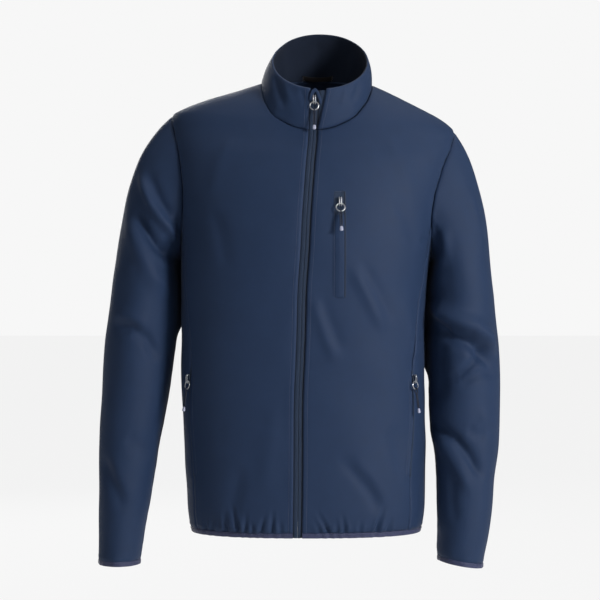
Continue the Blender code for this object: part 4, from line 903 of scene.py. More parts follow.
def sleeveSurface(side):
    # Hermite lines from the armhole to the tube's top ring, then rings:
    # centre + (half width * cos phi, -half depth * sin phi)
    sign = side["sign"]
    front = seamPoints(armFront[::-1], frontPanel["armSteps"] * fine)[::-1]
    under = seamPoints(armUnder, frontPanel["underSteps"] * fine)
    back = seamPoints(armBack, backPanel["armSteps"] * fine)
    ring = np.concatenate([front, under[1:], back[1:-1]]) * (sign, 1.0)
    armhole = body(ring[:, 0], ring[:, 1])
    armOut = bodyNormals(ring[:, 0], ring[:, 1])
    away = awayFromPanel(armhole, armOut, True)
    if np.sum(away * (armhole.mean(axis=0) - armhole)) < 0:
        away = -away
    down = (frontPanel["armSteps"] + frontPanel["underSteps"]) * fine
    phi = np.concatenate([np.linspace(0, math.pi, down + 1),
                          np.linspace(math.pi, 2 * math.pi, backPanel["armSteps"] * fine + 1)[1:-1]])
    tubeZ = np.linspace(sleeveForm["top"], sleeveForm["cuff"] + bindingHeight,
                        sleeveForm["tubeSteps"] * fine + 1)

    def tube(z):
        row = smoothTable(-side["tube"][:, 0], side["tube"][:, 1:], -np.asarray(z, float))
        x, y, halfWidth, halfDepth = np.moveaxis(row, -1, 0)
        below = sleeveForm["top"] - sleeveForm["slopeFrom"] - z
        slope = side["cuffSlope"] * np.clip(below / sleeveForm["slopeOver"], 0, 1)
        across = halfWidth[..., None] * np.cos(phi)
        return np.stack([x[..., None] + sign * across, y[..., None] - halfDepth[..., None] * np.sin(phi),
                         z[..., None] + across * slope[..., None]], axis=-1)

    rings = tube(tubeZ)
    end = rings[0]
    endRun = unit(tube(tubeZ[:1] - 10)[0] - end)
    start = armhole + seamGap * away
    lean = np.array([sign * side["lean"][0], 0.0, side["lean"][1]])
    chord = np.linalg.norm(end - start, axis=-1, keepdims=True)
    t = np.linspace(0, 1, sleeveForm["headSteps"] * fine + 1)[:-1, None, None]
    grid = np.concatenate([hermite(t, start, end, chord, lean, endRun), rings])
    # pressed towards the side behind the body's widest line: rise * exp(-((phi - pi - turn) / width)^2)
    pressed = side["pressed"]
    share = bell(phi - math.pi - pressed["turn"], pressed["width"])
    span = (smoothStep((pressed["top"] - grid[..., 2]) / sleeveForm["pressedIn"])
            * smoothStep((grid[..., 2] - pressed["foot"]) / sleeveForm["pressedOut"]))
    grid[..., 0] -= sign * pressed["rise"] * share * span
    return grid


def ringNormals(grid):
    # run round the ring x run down the tube, turned to point away from each ring's middle
    around = np.roll(grid, -1, axis=1) - np.roll(grid, 1, axis=1)
    n = unit(np.cross(around, np.gradient(grid, axis=0)))
    return n if np.sum(n * (grid - grid.mean(axis=1, keepdims=True))) > 0 else -n


def makeSleeve(name, side, seed):
    # folds grow in below the armhole; the underarm seam runs down the ring that started at the side seam
    grid = sleeveSurface(side)
    out = ringNormals(grid)
    keep = np.clip(np.arange(len(grid)) / (sleeveForm["foldsOver"] * fine), 0, 1)[:, None]
    folds = foldHeights(grid, out, side["folds"], foldStrength["sleeves"])
    points = grid + (folds * keep)[..., None] * out
    out = ringNormals(points)
    _, _, along, toCuff = edgeDistances(points)
    around = np.linalg.norm(np.roll(points, -1, axis=1) - points, axis=-1)
    around = np.cumsum(around, axis=1) - around
    rise = seamRelief(along, around, 0.7, 0.45) + seamRelief(toCuff, around, 0.5, 0.8)
    seamColumn = (frontPanel["armSteps"] + frontPanel["underSteps"]) * fine
    fromSeam = np.abs(around - around[:, seamColumn:seamColumn + 1])
    rise += seamRelief(fromSeam, along, 0.7, 0.5) * smoothStep(along / sleeveForm["underSeamFrom"])
    quiet = smoothStep(np.minimum(along, toCuff) / sleeveForm["quietEdge"])
    rise += unevenness(points, seed, 1.3) * quiet
    near = nearness(along, toCuff, fromSeam)
    points = points + rise[..., None] * out
    piece = gridPiece(name, points, clothMaterial, wrap=True, thick=wall, near=near, outwards=out,
                      turned=("bottom", "top"))
    return piece, points, out


sleeveRight, sleeveRightPoints, sleeveRightOut = makeSleeve("sleeve_right_cloth", sleeves["right"], 31)
sleeveLeft, sleeveLeftPoints, sleeveLeftOut = makeSleeve("sleeve_left_cloth", sleeves["left"], 41)
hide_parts("sleeve_right")
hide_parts("sleeve_left")
print("stage: sleeves")

collarForm = {"middle": (9.5, -25.0, 57.0), "halfWidth": 72.0, "halfDepth": 70.0, "halfRise": 49.5,
              "leftEdge": 18.4, "rightEdge": -6.6, "steps": 24, "wall": 1.2, "bow": 2.5,
              "liningGap": 0.35, "liningThinner": 0.1, "edgeRoll": (1.1, 1.2), "liningRoll": (0.5, 1.5)}


def rimHalf(sign, count):
    # half an ellipse in the tipped rim plane, from a front edge to the middle of the back
    middle = collarForm["middle"]
    edgeX = collarForm["leftEdge"] if sign > 0 else collarForm["rightEdge"]
    phi = np.linspace(math.asin((edgeX - middle[0]) / collarForm["halfWidth"]), sign * math.pi, count)
    return np.stack([middle[0] + collarForm["halfWidth"] * np.sin(phi),
                     middle[1] - collarForm["halfDepth"] * np.cos(phi),
                     middle[2] - collarForm["halfRise"] * np.cos(phi)], axis=-1)


def openNormals(grid):
    # run along the rows x run up the columns, turned to point away from the grid's middle
    n = unit(np.cross(np.gradient(grid, axis=1), np.gradient(grid, axis=0)))
    outward = grid - grid.mean(axis=(0, 1))
    return n if np.sum(n[..., :2] * outward[..., :2]) > 0 else -n


def collarSurface():
    # straight lines from the neck seam to the rim, bowed out by sin(pi v)
    back = seamPoints(neckBack, backPanel["neckSteps"] * fine // 2)
    half = np.concatenate([neckLine(), back[1:]])
    loop = np.concatenate([half, acrossBack(half[::-1])[1:]])[::-1]
    edge = body(loop[:, 0], loop[:, 1])
    away = awayFromPanel(edge, bodyNormals(loop[:, 0], loop[:, 1]), False)
    if np.sum(away[:, 2]) < 0:
        away = -away
    rim = np.concatenate([rimHalf(-1, len(half)), rimHalf(1, len(half))[::-1][1:]])
    v = np.linspace(0, 1, collarForm["steps"] + 1)[:, None, None]
    grid = (edge + seamGap * away) * (1 - v) + rim * v
    return grid + collarForm["bow"] * np.sin(math.pi * v) * openNormals(grid)


# collar folds as seen from the front, the same table as the body's
collarFolds = [
    (-1, -2.4, 4, 5, [(-60, 32), (-54, 6), (-44, -24)]),
    (-1, -1.2, 3, 4, [(-21, 8), (-17, -6), (-12, -20)]),
    (-1, 1.2, 4, 5, [(-46, 24), (-40, 4), (-34, -14)]),
    (-1, -1.6, 4, 5, [(66, 24), (62, 4), (54, -12)]),
    (-1, 1.0, 4, 5, [(48, 16), (44, -4), (38, -20)]),
    (1, -1.6, 6, 8, [(-52, 80), (-50, 60), (-46, 36)]),
    (1, -1.4, 6, 8, [(62, 76), (60, 56), (56, 36)]),
    (1, 1.2, 8, 8, [(10, 96), (6, 70), (2, 44)]),
]


def makeCollar():
    # outer layer, and the lining a wall and a gap inside it; the rim and front edges roll inwards
    base = collarSurface()
    out = openNormals(base)
    left, right, bottom, top = edgeDistances(base)
    edge = np.minimum(left, right)
    folds = foldHeights(base, out, collarFolds)
    ripple = unevenness(base, 51, 0.5, 25.0, 80.0)
    rise = folds + seamRelief(bottom, left, 0.8, 0.4) + ripple
    roll, rollWidth = collarForm["edgeRoll"]
    rise += -roll * bell(top, rollWidth) - roll * bell(edge, rollWidth)
    near = nearness(top, bottom, edge)
    outer = gridPiece("collar_outer_cloth", base + rise[..., None] * out, clothMaterial,
                      thick=collarForm["wall"], near=near, outwards=out,
                      turned=("bottom", "left", "right"))
    inset = collarForm["wall"] + collarForm["liningGap"]
    lined = folds + ripple - inset + 0.2 * seamRelief(bottom, left, 0.8, 0.4)
    roll, rollWidth = collarForm["liningRoll"]
    lined -= roll * bell(top, rollWidth)
    inner = gridPiece("collar_inner_cloth", base + lined[..., None] * out, liningMaterial,
                      thick=collarForm["wall"] - collarForm["liningThinner"], outwards=out)
    return outer, inner, base + rise[..., None] * out, out


collarOuter, collarInner, collarPoints, collarOut = makeCollar()
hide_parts("collar_outer")
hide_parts("collar_inner")
print("stage: collar")

bindingForm = {"height": 7.6, "thick": 2.5, "wrap": 0.9, "proud": 0.5, "pinch": 0.07, "hemLean": 1.2}


def bandProfile(count=9):
    # round-edged strip: a superellipse with its flat sides to the outside and the inside
    t = np.linspace(0, 2 * math.pi, 4 * count, endpoint=False)
    c, s = np.cos(t), np.sin(t)
    across = np.sign(c) * np.abs(c) ** 0.7 * bindingForm["thick"] / 2
    up = np.sign(s) * np.abs(s) ** 0.5 * bindingForm["height"] / 2
    return across, up


def makeBand(name, edge, out, closed, inward):
    # the profile swept under an edge, pinched a little between stitches
    across, up = bandProfile()
    position = lengthAlong(edge)
    middle = edge.copy()
    middle[:, 2] -= seamGap + bindingForm["height"] / 2 - bindingForm["wrap"]
    swell = 1 + bindingForm["pinch"] * np.sin(position / 1.6 + np.sin(position / 11.0))
    points = (middle[:, None] + out[:, None] * (across * swell[:, None])[..., None]
              - out[:, None] * (bindingForm["thick"] / 2 - bindingForm["proud"])
              + np.array((0, 0, 1.0)) * up[None, :, None])
    points -= out[:, None] * (inward * (0.5 - up / bindingForm["height"]))[None, :, None]
    grid = np.concatenate([points, points[:, :1]], axis=1)
    if closed:
        grid = np.concatenate([grid, grid[:1]])
        middle = np.concatenate([middle, middle[:1]])
    return gridPiece(name, grid, bindingMaterial, outwards=grid - middle[:, None])


def hemPath():
    # the body's lower edge, from the left zip edge round the back to the right one
    front = frontGrid(1)[0, :, 0]
    around = backPatches()[0][0, :, 0]
    angle = np.concatenate([front[:-1], around, 360 - front[:-1][::-1]])
    height = np.full(angle.shape, hemHeight + bindingHeight)
    out = bodyNormals(angle, height) * (1, 1, 0)
    return body(angle, height), unit(out)


hemEdge, hemOut = hemPath()
hemBand = makeBand("hem_binding_band", hemEdge, hemOut, False, bindingForm["hemLean"])
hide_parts("hem_binding")
for side, points, out in (("right", sleeveRightPoints, sleeveRightOut),
                          ("left", sleeveLeftPoints, sleeveLeftOut)):
    cuffOut = unit(out[-1] * (1, 1, 0))
    makeBand("cuff_binding_%s_band" % side, points[-1], cuffOut, True, 0.0)
    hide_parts("cuff_binding_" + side)
print("stage: bindings")

# the coil under each zip's tape: a low bank with slanting ridges
coilForm = {"halfWidth": 1.7, "height": 0.35, "ridge": 0.2, "slant": 0.45, "pitch": 1.35}
# the width pair per side sets the dip and the painted shadow beside each fold edge, wider on the left tape
zipForm = {"edge": 7.0, "hidden": 6.0, "inset": 2.3, "ridge": 0.22, "rows": 1300, "columns": 17,
           "topX": 0.4, "gapShadeWidth": {"right": 0.9, "left": 1.7}, "ends": 0.5, "apart": 0.03, "coilAt": 2.2,
           "meeting": (0.25, 0.4), "gapDepth": 0.8, "foldIn": 0.6, "thick": 0.8, "collarGap": 0.8}


def zipLines(sign, rows):
    # the tape's middle, fold and hidden lines up the front, then up the collar's front edge
    z = np.linspace(hemHeight - zipForm["ends"], neckFront[0, 1] - zipForm["ends"], rows)
    lines = []
    for offset in (0.0, zipForm["edge"], zipForm["edge"] + zipForm["hidden"]):
        angle = sign * edgeAngle(z, offset)
        lines.append(torso(angle, z) - zipForm["inset"] * normalsOf(torso, angle, z, *torsoStep))
    column = -1 if sign > 0 else 0
    beside = -1 - fine if sign > 0 else fine
    inset = 2 * collarForm["wall"] + zipForm["collarGap"]
    part = np.linspace(0, 0.95, rows // 8) * collarForm["steps"]
    low = np.minimum(part.astype(int), collarForm["steps"] - 1)
    share = (part - low)[:, None]
    smooth = collarSurface()
    smoothOut = openNormals(smooth)

    def along(c):
        line = smooth[:, c] - inset * smoothOut[:, c]
        return line[low] * (1 - share) + line[low + 1] * share

    edge = along(column)
    hidden = edge + unit(along(beside) - edge) * zipForm["hidden"]
    return lines, edge, hidden


def makeZip():
    # tapes meet at the zip's middle; the coil behind shows as a herringbone of low ridges, and painted
    # shadow darkens each tape beside the fold edge over it
    made = {}
    both = {name: zipLines(sign, zipForm["rows"]) for name, sign in (("right", -1), ("left", 1))}
    middleTop = (both["right"][1] + both["left"][1]) / 2
    middleTop[:, 0] = np.linspace(middleTop[0, 0], zipForm["topX"], len(middleTop))
    for name, (lines, edge, hidden) in both.items():
        middle = np.concatenate([lines[0], middleTop])
        near = np.concatenate([lines[1], edge])
        far = np.concatenate([lines[2], hidden])
        middle = middle + unit(near - middle) * zipForm["apart"]
        u = np.linspace(0, 2, zipForm["columns"])[None, :, None]
        first = middle[:, None] * (1 - np.minimum(u, 1)) + near[:, None] * np.minimum(u, 1)
        second = near[:, None] * (2 - np.maximum(u, 1)) + far[:, None] * (np.maximum(u, 1) - 1)
        grid = np.where(u <= 1, first, second)
        n = openNormals(grid)
        n = n * np.where(n[..., 1:2] > 0, -1, 1)
        left, _, bottom, _ = edgeDistances(grid)
        coil = np.exp(-((left - zipForm["coilAt"]) / coilForm["halfWidth"]) ** 4)
        ridges = np.sin(2 * math.pi * (bottom + coilForm["slant"] * left) / coilForm["pitch"])
        dip, dipWidth = zipForm["meeting"]
        rise = coil * (coilForm["height"] + zipForm["ridge"] * ridges) - dip * bell(left, dipWidth)
        # gap dips the tape beside each fold edge and, passed on as its seam mask, paints shadow there
        gap = bell(left - zipForm["edge"] + zipForm["foldIn"], zipForm["gapShadeWidth"][name])
        points = grid + (rise - zipForm["gapDepth"] * gap)[..., None] * n
        made[name] = gridPiece("zip_tape_%s_coil" % name, points, tapeMaterial, thick=zipForm["thick"],
                               outwards=n, near=gap)
        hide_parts("zip_tape_" + name)
    return made


zipTapes = makeZip()
print("stage: main zip")


def angleAt(x, z):
    # the angle whose front-view x is the one asked, by halving an interval
    low, high = np.zeros(np.shape(z)), np.full(np.shape(z), 90.0)
    for _ in range(30):
        angle = (low + high) / 2
        short = torso(angle, z)[..., 0] < x
        low, high = np.where(short, angle, low), np.where(short, high, angle)
    return (low + high) / 2


def seamAngleAt(z):
    # the side seam's angle at a height
    return smoothTable(sideSeam[:, 1], sideSeam[:, 0], z)[..., 0]


def onPanel(angle, z, sign):
    # the panel as shown away from its hem: the body with the panel's own unevenness
    points = body(angle, z)
    out = bodyNormals(angle, z)
    fromSeam = np.abs(seamAngleAt(z) - np.abs(angle)) * degreeWidth
    rise = unevenness(points, 11 + sign, 1.0) * smoothStep(fromSeam / frontPanel["quietEdge"])
    return points + rise[..., None] * out, out


def coilRise(across, along, middle):
    # exp(-(distance / half width)^4) * (height + ridge * sin(2 pi (along + slant * distance) / pitch))
    distance = across - middle
    bank = np.exp(-(distance / coilForm["halfWidth"]) ** 4)
    wave = np.sin(2 * math.pi * (along + coilForm["slant"] * np.abs(distance)) / coilForm["pitch"])
    return bank * (coilForm["height"] + coilForm["ridge"] * wave)


chestPocket = {"x0": 27.4, "x1": 46.6, "z0": -301.0, "z1": -144.0, "weltX1": 43.0, "weltZ1": -180.0,
               "coilAt": 14.0, "weltRise": 1.5, "stitchIn": 1.5, "tapeGrid": (500, 24),
               "weltGrid": (160, 40), "tapeThick": 0.7, "weltThick": 1.0, "tapeLift": 0.25,
               "weltLift": 0.55, "sewnOver": 0.5}
handPocket = {"z0": -566.0, "z1": -408.0, "tape": 5.0, "welt": 10.0, "weltFrom": 0.36, "weltRise": 1.2,
              "weltTop": -416.0, "tapeGrid": (500, 13), "weltGrid": (160, 30), "tapeThick": 0.7,
              "weltThick": 0.9, "tapeLift": 0.35, "weltLift": 0.3}


def crossGrid(low, high, left, right, counts):
    # a grid of heights and places across
    across, z = np.meshgrid(np.linspace(left, right, counts[1]), np.linspace(low, high, counts[0]))
    return across, z


def makeChestPocket():
    # the tape lies on the panel; the welt is flat at its sewn edge and stands up at its open edge
    pocket = chestPocket
    x, z = crossGrid(pocket["z0"], pocket["z1"], pocket["x0"], pocket["x1"], pocket["tapeGrid"])
    points, out = onPanel(angleAt(x, z), z, 1)
    across, along = x - pocket["x0"], z - pocket["z0"]
    edge = np.minimum(np.minimum(across, pocket["x1"] - x), np.minimum(along, pocket["z1"] - z))
    rise = pocket["tapeLift"] + coilRise(across, along, pocket["coilAt"]) - 0.5 * bell(edge, 0.8)
    # along the welt's open edge the tape dips and is darkened by painted shade, passed on as its seam mask
    openingDipAndShade = bell(x - pocket["weltX1"] - 0.5, 1.0)
    tape = gridPiece("chest_pocket_tape_coil", points + (rise - 0.3 * openingDipAndShade)[..., None] * out, tapeMaterial,
                     thick=pocket["tapeThick"], outwards=out, near=openingDipAndShade)
    sewnX = pocket["x0"] - pocket["sewnOver"]
    x, z = crossGrid(pocket["z0"], pocket["weltZ1"], sewnX, pocket["weltX1"], pocket["weltGrid"])
    points, out = onPanel(angleAt(x, z), z, 1)
    across = (x - sewnX) / (pocket["weltX1"] - sewnX)
    opening = pocket["weltX1"] - x
    rise = pocket["weltLift"] + pocket["weltRise"] * smoothStep(across * 1.6) - 0.7 * bell(opening, 0.7)
    rise -= 0.35 * bell(x - pocket["x0"] - pocket["stitchIn"], 0.8)
    rise -= 0.7 * bell(z - pocket["z0"], 2.0) + 0.2 * np.sin(z / 9.0) * across
    welt = gridPiece("chest_pocket_welt_cloth", points + rise[..., None] * out, clothMaterial,
                     thick=pocket["weltThick"], outwards=out, turned=("right",))
    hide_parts("chest_pocket_tape")
    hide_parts("chest_pocket_welt")
    return tape, welt


def makeHandPocket(name, sign):
    # tape over the side seam, and beside it a welt that stands up along its open edge
    pocket = handPocket
    half = pocket["tape"] / 2
    shift, z = crossGrid(pocket["z0"], pocket["z1"], -half, half, pocket["tapeGrid"])
    points, out = onPanel(sign * (seamAngleAt(z) + shift / degreeWidth), z, sign)
    toEdge = half - np.abs(shift)
    rise = pocket["tapeLift"] + coilRise(shift, z, 0.0) - 0.6 * bell(toEdge, 0.6)
    # the tape's long edges are darkened by painted shade where they tuck under the cloth
    tape = gridPiece("pocket_tape_%s_coil" % name, points + rise[..., None] * out, tapeMaterial,
                     thick=pocket["tapeThick"], outwards=out, near=bell(toEdge, 0.8))
    across, z = crossGrid(pocket["z0"], pocket["weltTop"], 0, 1, pocket["weltGrid"])
    away = half + pocket["weltFrom"] + across * pocket["welt"]
    points, out = onPanel(sign * (seamAngleAt(z) - away / degreeWidth), z, sign)
    rise = pocket["weltLift"] + pocket["weltRise"] * (1 - smoothStep(across * 1.3))
    rise -= 0.6 * bell(across, 0.06)
    ends = np.minimum(z - pocket["z0"], pocket["weltTop"] - z)
    rise -= 0.9 * bell(ends, 3.0) + 0.25 * np.sin(z / 7.0 + np.sin(z / 19.0)) * (1 - across)
    rise -= 0.3 * smoothStep((across - 0.85) / 0.15)
    welt = gridPiece("pocket_welt_%s_cloth" % name, points + rise[..., None] * out, clothMaterial,
                     thick=pocket["weltThick"], outwards=out, turned=("left",))
    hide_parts("pocket_tape_" + name)
    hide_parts("pocket_welt_" + name)
    return tape, welt


chestTape, chestWelt = makeChestPocket()
handPieces = {name: makeHandPocket(name, sign) for name, sign in (("right", -1), ("left", 1))}
print("stage: pockets")


def nodePoints(name):
    # a solid's corners in millimetres
    mesh = frame["nodes"][name].data
    flat = np.empty(3 * len(mesh.vertices))
    mesh.vertices.foreach_get("co", flat)
    return flat.reshape(-1, 3) / mm


def closedEnds(grid):
    # rows that draw each open end of a tube in to its middle
    first, last = grid[:1], grid[-1:]
    firstMiddle, lastMiddle = first.mean(axis=1, keepdims=True), last.mean(axis=1, keepdims=True)
    shrunk = (0.02, 0.6)
    return np.concatenate([firstMiddle + share * (first - firstMiddle) for share in shrunk] + [grid]
                          + [lastMiddle + share * (last - lastMiddle) for share in shrunk[::-1]])


def tubePiece(name, path, side, lift, profile, material, bodyName, ring=False):
    # profile pairs (a, b) carried along a path: path + a * side + b * lift
    grid = path[:, None] + profile[..., 0:1] * side[:, None] + profile[..., 1:2] * lift[:, None]
    middle = path[:, None]
    if not ring:
        grid = closedEnds(grid)
        middle = np.concatenate([path[:1], path[:1], path, path[-1:], path[-1:]])[:, None]
    return gridPiece(name, grid, material, wrap=True, ring=ring, outwards=grid - middle,
                     bodyName=bodyName)


def roundProfile(halfWidth, halfHeight, count=20, square=2.0):
    # superellipse |a / half width|^n + |b / half height|^n = 1
    t = np.linspace(0, 2 * math.pi, count, endpoint=False)
    c, s = np.cos(t), np.sin(t)
    return np.stack([np.sign(c) * np.abs(c) ** (2 / square) * halfWidth,
                     np.sign(s) * np.abs(s) ** (2 / square) * halfHeight], axis=-1)


def smoothLoop(corners, count, closed=True):
    # Catmull-Rom curve through the corners, then even steps along it
    corners = np.asarray(corners, float)
    n = len(corners)
    u = np.linspace(0, n if closed else n - 1, 8 * count, endpoint=not closed)
    k = np.minimum(u.astype(int), n - 1 if closed else n - 2)
    t = (u - k)[:, None]
    pick = (lambda i: corners[i % n]) if closed else (lambda i: corners[np.clip(i, 0, n - 1)])
    a, b, c, d = pick(k - 1), pick(k), pick(k + 1), pick(k + 2)
    curve = 0.5 * (2 * b + (c - a) * t + (2 * a - 5 * b + 4 * c - d) * t**2
                   + (3 * b - a - 3 * c + d) * t**3)
    loop = np.concatenate([curve, curve[:1]]) if closed else curve
    along = lengthAlong(loop)
    return readAt(np.linspace(0, along[-1], count, endpoint=not closed), along, loop)


pullForm = {"ringRadius": 6.2, "ringWire": 0.85, "width": 6.4, "length": 13.0, "plate": 1.8, "rail": 1.5,
            "railHalf": (0.55, 0.55), "rise": 4.9, "span": 6.3, "seat": -3.0, "window": 2.1, "cord": 0.88,
            "strand": 1.3, "tip": (4.8, 3.4, 7.3), "twistOver": 7.0,
            "steps": {"plate": 40, "rail": 48, "ring": 96, "cord": 220, "tip": 36}}
pullCords = {"main": 21.0, "chest": 22.0, "hand_left": 27.0, "hand_right": 25.0}


def repeated(vector, count):
    # the same vector for every point of a path
    return np.ones((count, 1)) * vector


def makePull(key, cordLength, hinge):
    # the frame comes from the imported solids: the slider's long axis, and the ring hanging from its hinge
    form, steps = pullForm, pullForm["steps"]
    seat = np.array(hinge["pos_m"]) / mm
    side = unit(np.array(hinge["axis"], float))
    side = side if side[0] > 0 else -side
    corners = nodePoints("slider_" + key)
    flat = corners - corners.mean(axis=0)
    flat = flat - (flat @ side)[:, None] * side
    up = np.linalg.svd(flat, full_matrices=False)[2][0]
    up = up if up[2] > 0 else -up
    out = unit(np.cross(side, up))
    out = out if out[1] < 0 else -out
    middle = seat - form["window"] * out - form["seat"] * up
    t = np.linspace(-1, 1, steps["plate"])[:, None]
    shape = np.maximum(1 - np.abs(t) ** 6, 0.0) ** 0.3
    waist = 1 - 0.2 * bell(t + 0.1, 0.45)
    profile = roundProfile(1.0, 1.0, 32, 3.5)[None]
    profile = profile * np.stack([shape * waist * form["width"] / 2,
                                  shape**0.5 * form["plate"] / 2], axis=-1)
    path = middle + up * t * form["length"] / 2
    # the plate is dark: painted shade between the rails
    plate = tubePiece("slider_%s_plate" % key, path, repeated(side, len(path)), repeated(out, len(path)),
                      profile, plateShadeMetal, "jacket")
    phi = np.linspace(0, math.pi, steps["rail"])
    z = np.sign(np.cos(phi)) * np.abs(np.cos(phi)) ** 0.6 * form["span"]
    y = form["plate"] / 2 - 0.5 + (form["rise"] - form["plate"] / 2 - 0.1) * np.sin(phi) ** 0.6
    for number, shift in enumerate((-form["rail"], form["rail"])):
        path = middle + np.outer(z, up) + np.outer(y, out) + shift * side
        run = unit(np.gradient(path, axis=0))
        tubePiece("slider_%s_rail_%d" % (key, number + 1), path, repeated(side, len(path)),
                  np.cross(run, side), roundProfile(*form["railHalf"], 14, 3.0)[None], metalMaterial,
                  "jacket")
    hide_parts("slider_" + key)

    bodyName = key.replace("hand_left", "left_hand").replace("hand_right", "right_hand") + "_pull"
    ringMiddle = nodePoints("puller_%s_ring" % key).mean(axis=0)
    rise = unit(seat - ringMiddle)
    face = unit(np.cross(side, rise))
    turn = np.linspace(0, 2 * math.pi, steps["ring"], endpoint=False)[:, None]
    radial = np.cos(turn) * side + np.sin(turn) * rise
    radius = form["ringRadius"] * (1 + 0.03 * np.cos(2 * turn))
    wire = roundProfile(form["ringWire"], form["ringWire"] * 0.8, 16)[None]
    ringPiece = tubePiece("puller_%s_ring_wire" % key, ringMiddle + radius * radial, radial,
                          repeated(face, len(radial)), wire, metalMaterial, bodyName, ring=True)
    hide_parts("puller_%s_ring" % key)

    foot = -2 * form["ringRadius"]
    reach = 0.8 + seamGap + form["cord"]
    low = foot - cordLength
    strand = form["strand"]
    route = [(reach * math.cos(a), foot + reach * math.sin(a)) for a in np.linspace(0, math.pi, 7)]
    route += [(-reach, foot - 2.5), (-strand, foot - 6.5), (-strand * 0.85, foot - 12)]
    route += [(-strand * math.cos(a), low + strand - strand * math.sin(a))
              for a in np.linspace(0, math.pi, 6)]
    route += [(strand * 0.85, foot - 12), (strand, foot - 6.5), (reach, foot - 2.5)]
    loop = smoothLoop(route, steps["cord"])
    # the two strands turn from front and back of the ring to side by side
    twist = smoothStep((foot - loop[:, 1:]) / form["twistOver"]) * math.pi / 2
    path = seat + loop[:, :1] * (np.cos(twist) * face + np.sin(twist) * side) + loop[:, 1:] * rise
    run = unit(np.roll(path, -1, axis=0) - np.roll(path, 1, axis=0))
    across = unit(np.cross(run, np.cos(twist) * side - np.sin(twist) * face))
    profile = roundProfile(form["cord"], form["cord"], 12)[None]
    beat = np.arange(len(loop))[:, None] * 1.1 + np.arange(profile.shape[1])[None, :] * math.pi
    profile = profile * (1 + 0.05 * np.sin(beat))[..., None]
    cordPiece = tubePiece("puller_%s_cord_braid" % key, path, np.cross(across, run), across, profile,
                          cordMaterial, bodyName, ring=True)
    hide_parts("puller_%s_cord" % key)

    width, thick, length = form["tip"]
    t = np.linspace(-1, 1, steps["tip"])[:, None]
    shape = np.maximum(1 - np.abs(t) ** 4, 0.0) ** 0.4 * (1 - 0.12 * t)
    profile = roundProfile(1.0, 1.0, 28, 2.8)[None]
    profile = profile * np.stack([shape * width / 2, shape * thick / 2], axis=-1)
    tipMiddle = nodePoints("puller_%s_tip" % key).mean(axis=0)
    path = tipMiddle + rise * t * length / 2
    tipPiece = tubePiece("puller_%s_tip_moulded" % key, path, repeated(side, len(path)),
                         repeated(face, len(path)), profile, tipMaterial, bodyName)
    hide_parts("puller_%s_tip" % key)


hinges = {joint["name"]: joint for joint in frame["joints"]}
for key, hingeName in (("main", "main_pull_hinge"), ("chest", "chest_pull_hinge"),
                       ("hand_left", "left_hand_pull_hinge"), ("hand_right", "right_hand_pull_hinge")):
    makePull(key, pullCords[key], hinges[hingeName])
print("stage: pulls")

garageForm = {
    "outer": [(-6.9, -10), (-6.5, -3), (-3.9, 4.0), (0.8, 7.0), (5.2, 3.4), (9.0, -5.5), (11.4, -14.5)],
    "inner": [(-4.3, -10), (-3.4, -5), (-1.6, -0.4), (0.8, 2.4), (2.8, 0.2), (6.0, -7.4), (8.4, -15.0)],
    "thick": 1.5, "widen": 1.25, "steps": 90}


def makeGarage():
    # bound strip: a flat rounded profile between the outer and the inner line, as wide as they are apart
    steps = garageForm["steps"]
    outer, inner = (smoothLoop(garageForm[line], steps, closed=False) for line in ("outer", "inner"))
    corners = nodePoints("zip_garage")
    y = (corners[:, 1].min() + corners[:, 1].max()) / 2
    middle, half = (outer + inner) / 2, garageForm["widen"] * (outer - inner) / 2
    path = np.stack([middle[:, 0], np.full(steps, y), middle[:, 1]], axis=-1)
    side = np.stack([half[:, 0], np.zeros(steps), half[:, 1]], axis=-1)
    profile = roundProfile(1.0, garageForm["thick"] / 2, 24, 3.0)[None]
    piece = tubePiece("zip_garage_cloth", path, side, repeated((0.0, -1.0, 0.0), steps), profile,
                      clothMaterial, "jacket")
    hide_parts("zip_garage")
    return piece


garageCloth = makeGarage()

hangerForm = {"grid": (9, 90), "slack": 3.0, "thick": 1.0, "facing": (0.0, -1.0, 0.3)}


def makeHangerLoop():
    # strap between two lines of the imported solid, slack in the middle
    corners = nodePoints("hanger_loop")
    rows, count = hangerForm["grid"]
    x = np.linspace(corners[:, 0].min(), corners[:, 0].max(), count)
    slack = hangerForm["slack"] * (1 - np.linspace(-1, 1, count) ** 2)
    near = np.abs(corners[:, 0] - x[0]) < 1.0
    low, high = corners[near][:, 2].min(), corners[near][:, 2].max()
    yLow, yHigh = corners[near][:, 1].max(), corners[near][:, 1].min()
    across = np.linspace(0, 1, rows)[:, None]
    points = np.stack([np.broadcast_to(x, (rows, count)), yLow + (yHigh - yLow) * across - slack,
                       low + (high - low) * across - slack], axis=-1)
    piece = gridPiece("hanger_loop_strap", points, loopMaterial, thick=hangerForm["thick"],
                      outwards=np.broadcast_to(hangerForm["facing"], points.shape))
    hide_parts("hanger_loop")
    return piece, points


hangerLoop, hangerPoints = makeHangerLoop()
print("stage: garage and hanger loop")

stitchForm = {"pitch": 2.6, "share": 0.72, "radius": 0.26, "lift": 0.05, "sides": 6,
              "bindingDrop": 1.4, "bindingLift": 0.55, "tapeLift": 0.3, "weltLift": (0.75, 0.9)}


def evenly(path, out, pitch):
    # points, outward directions and runs at even steps along a line
    along = lengthAlong(path)
    even = np.arange(pitch, along[-1] - pitch, pitch)
    spot = readAt(even, along, path)
    return spot, unit(readAt(even, along, out)), unit(readAt(even + 0.5, along, path) - spot)


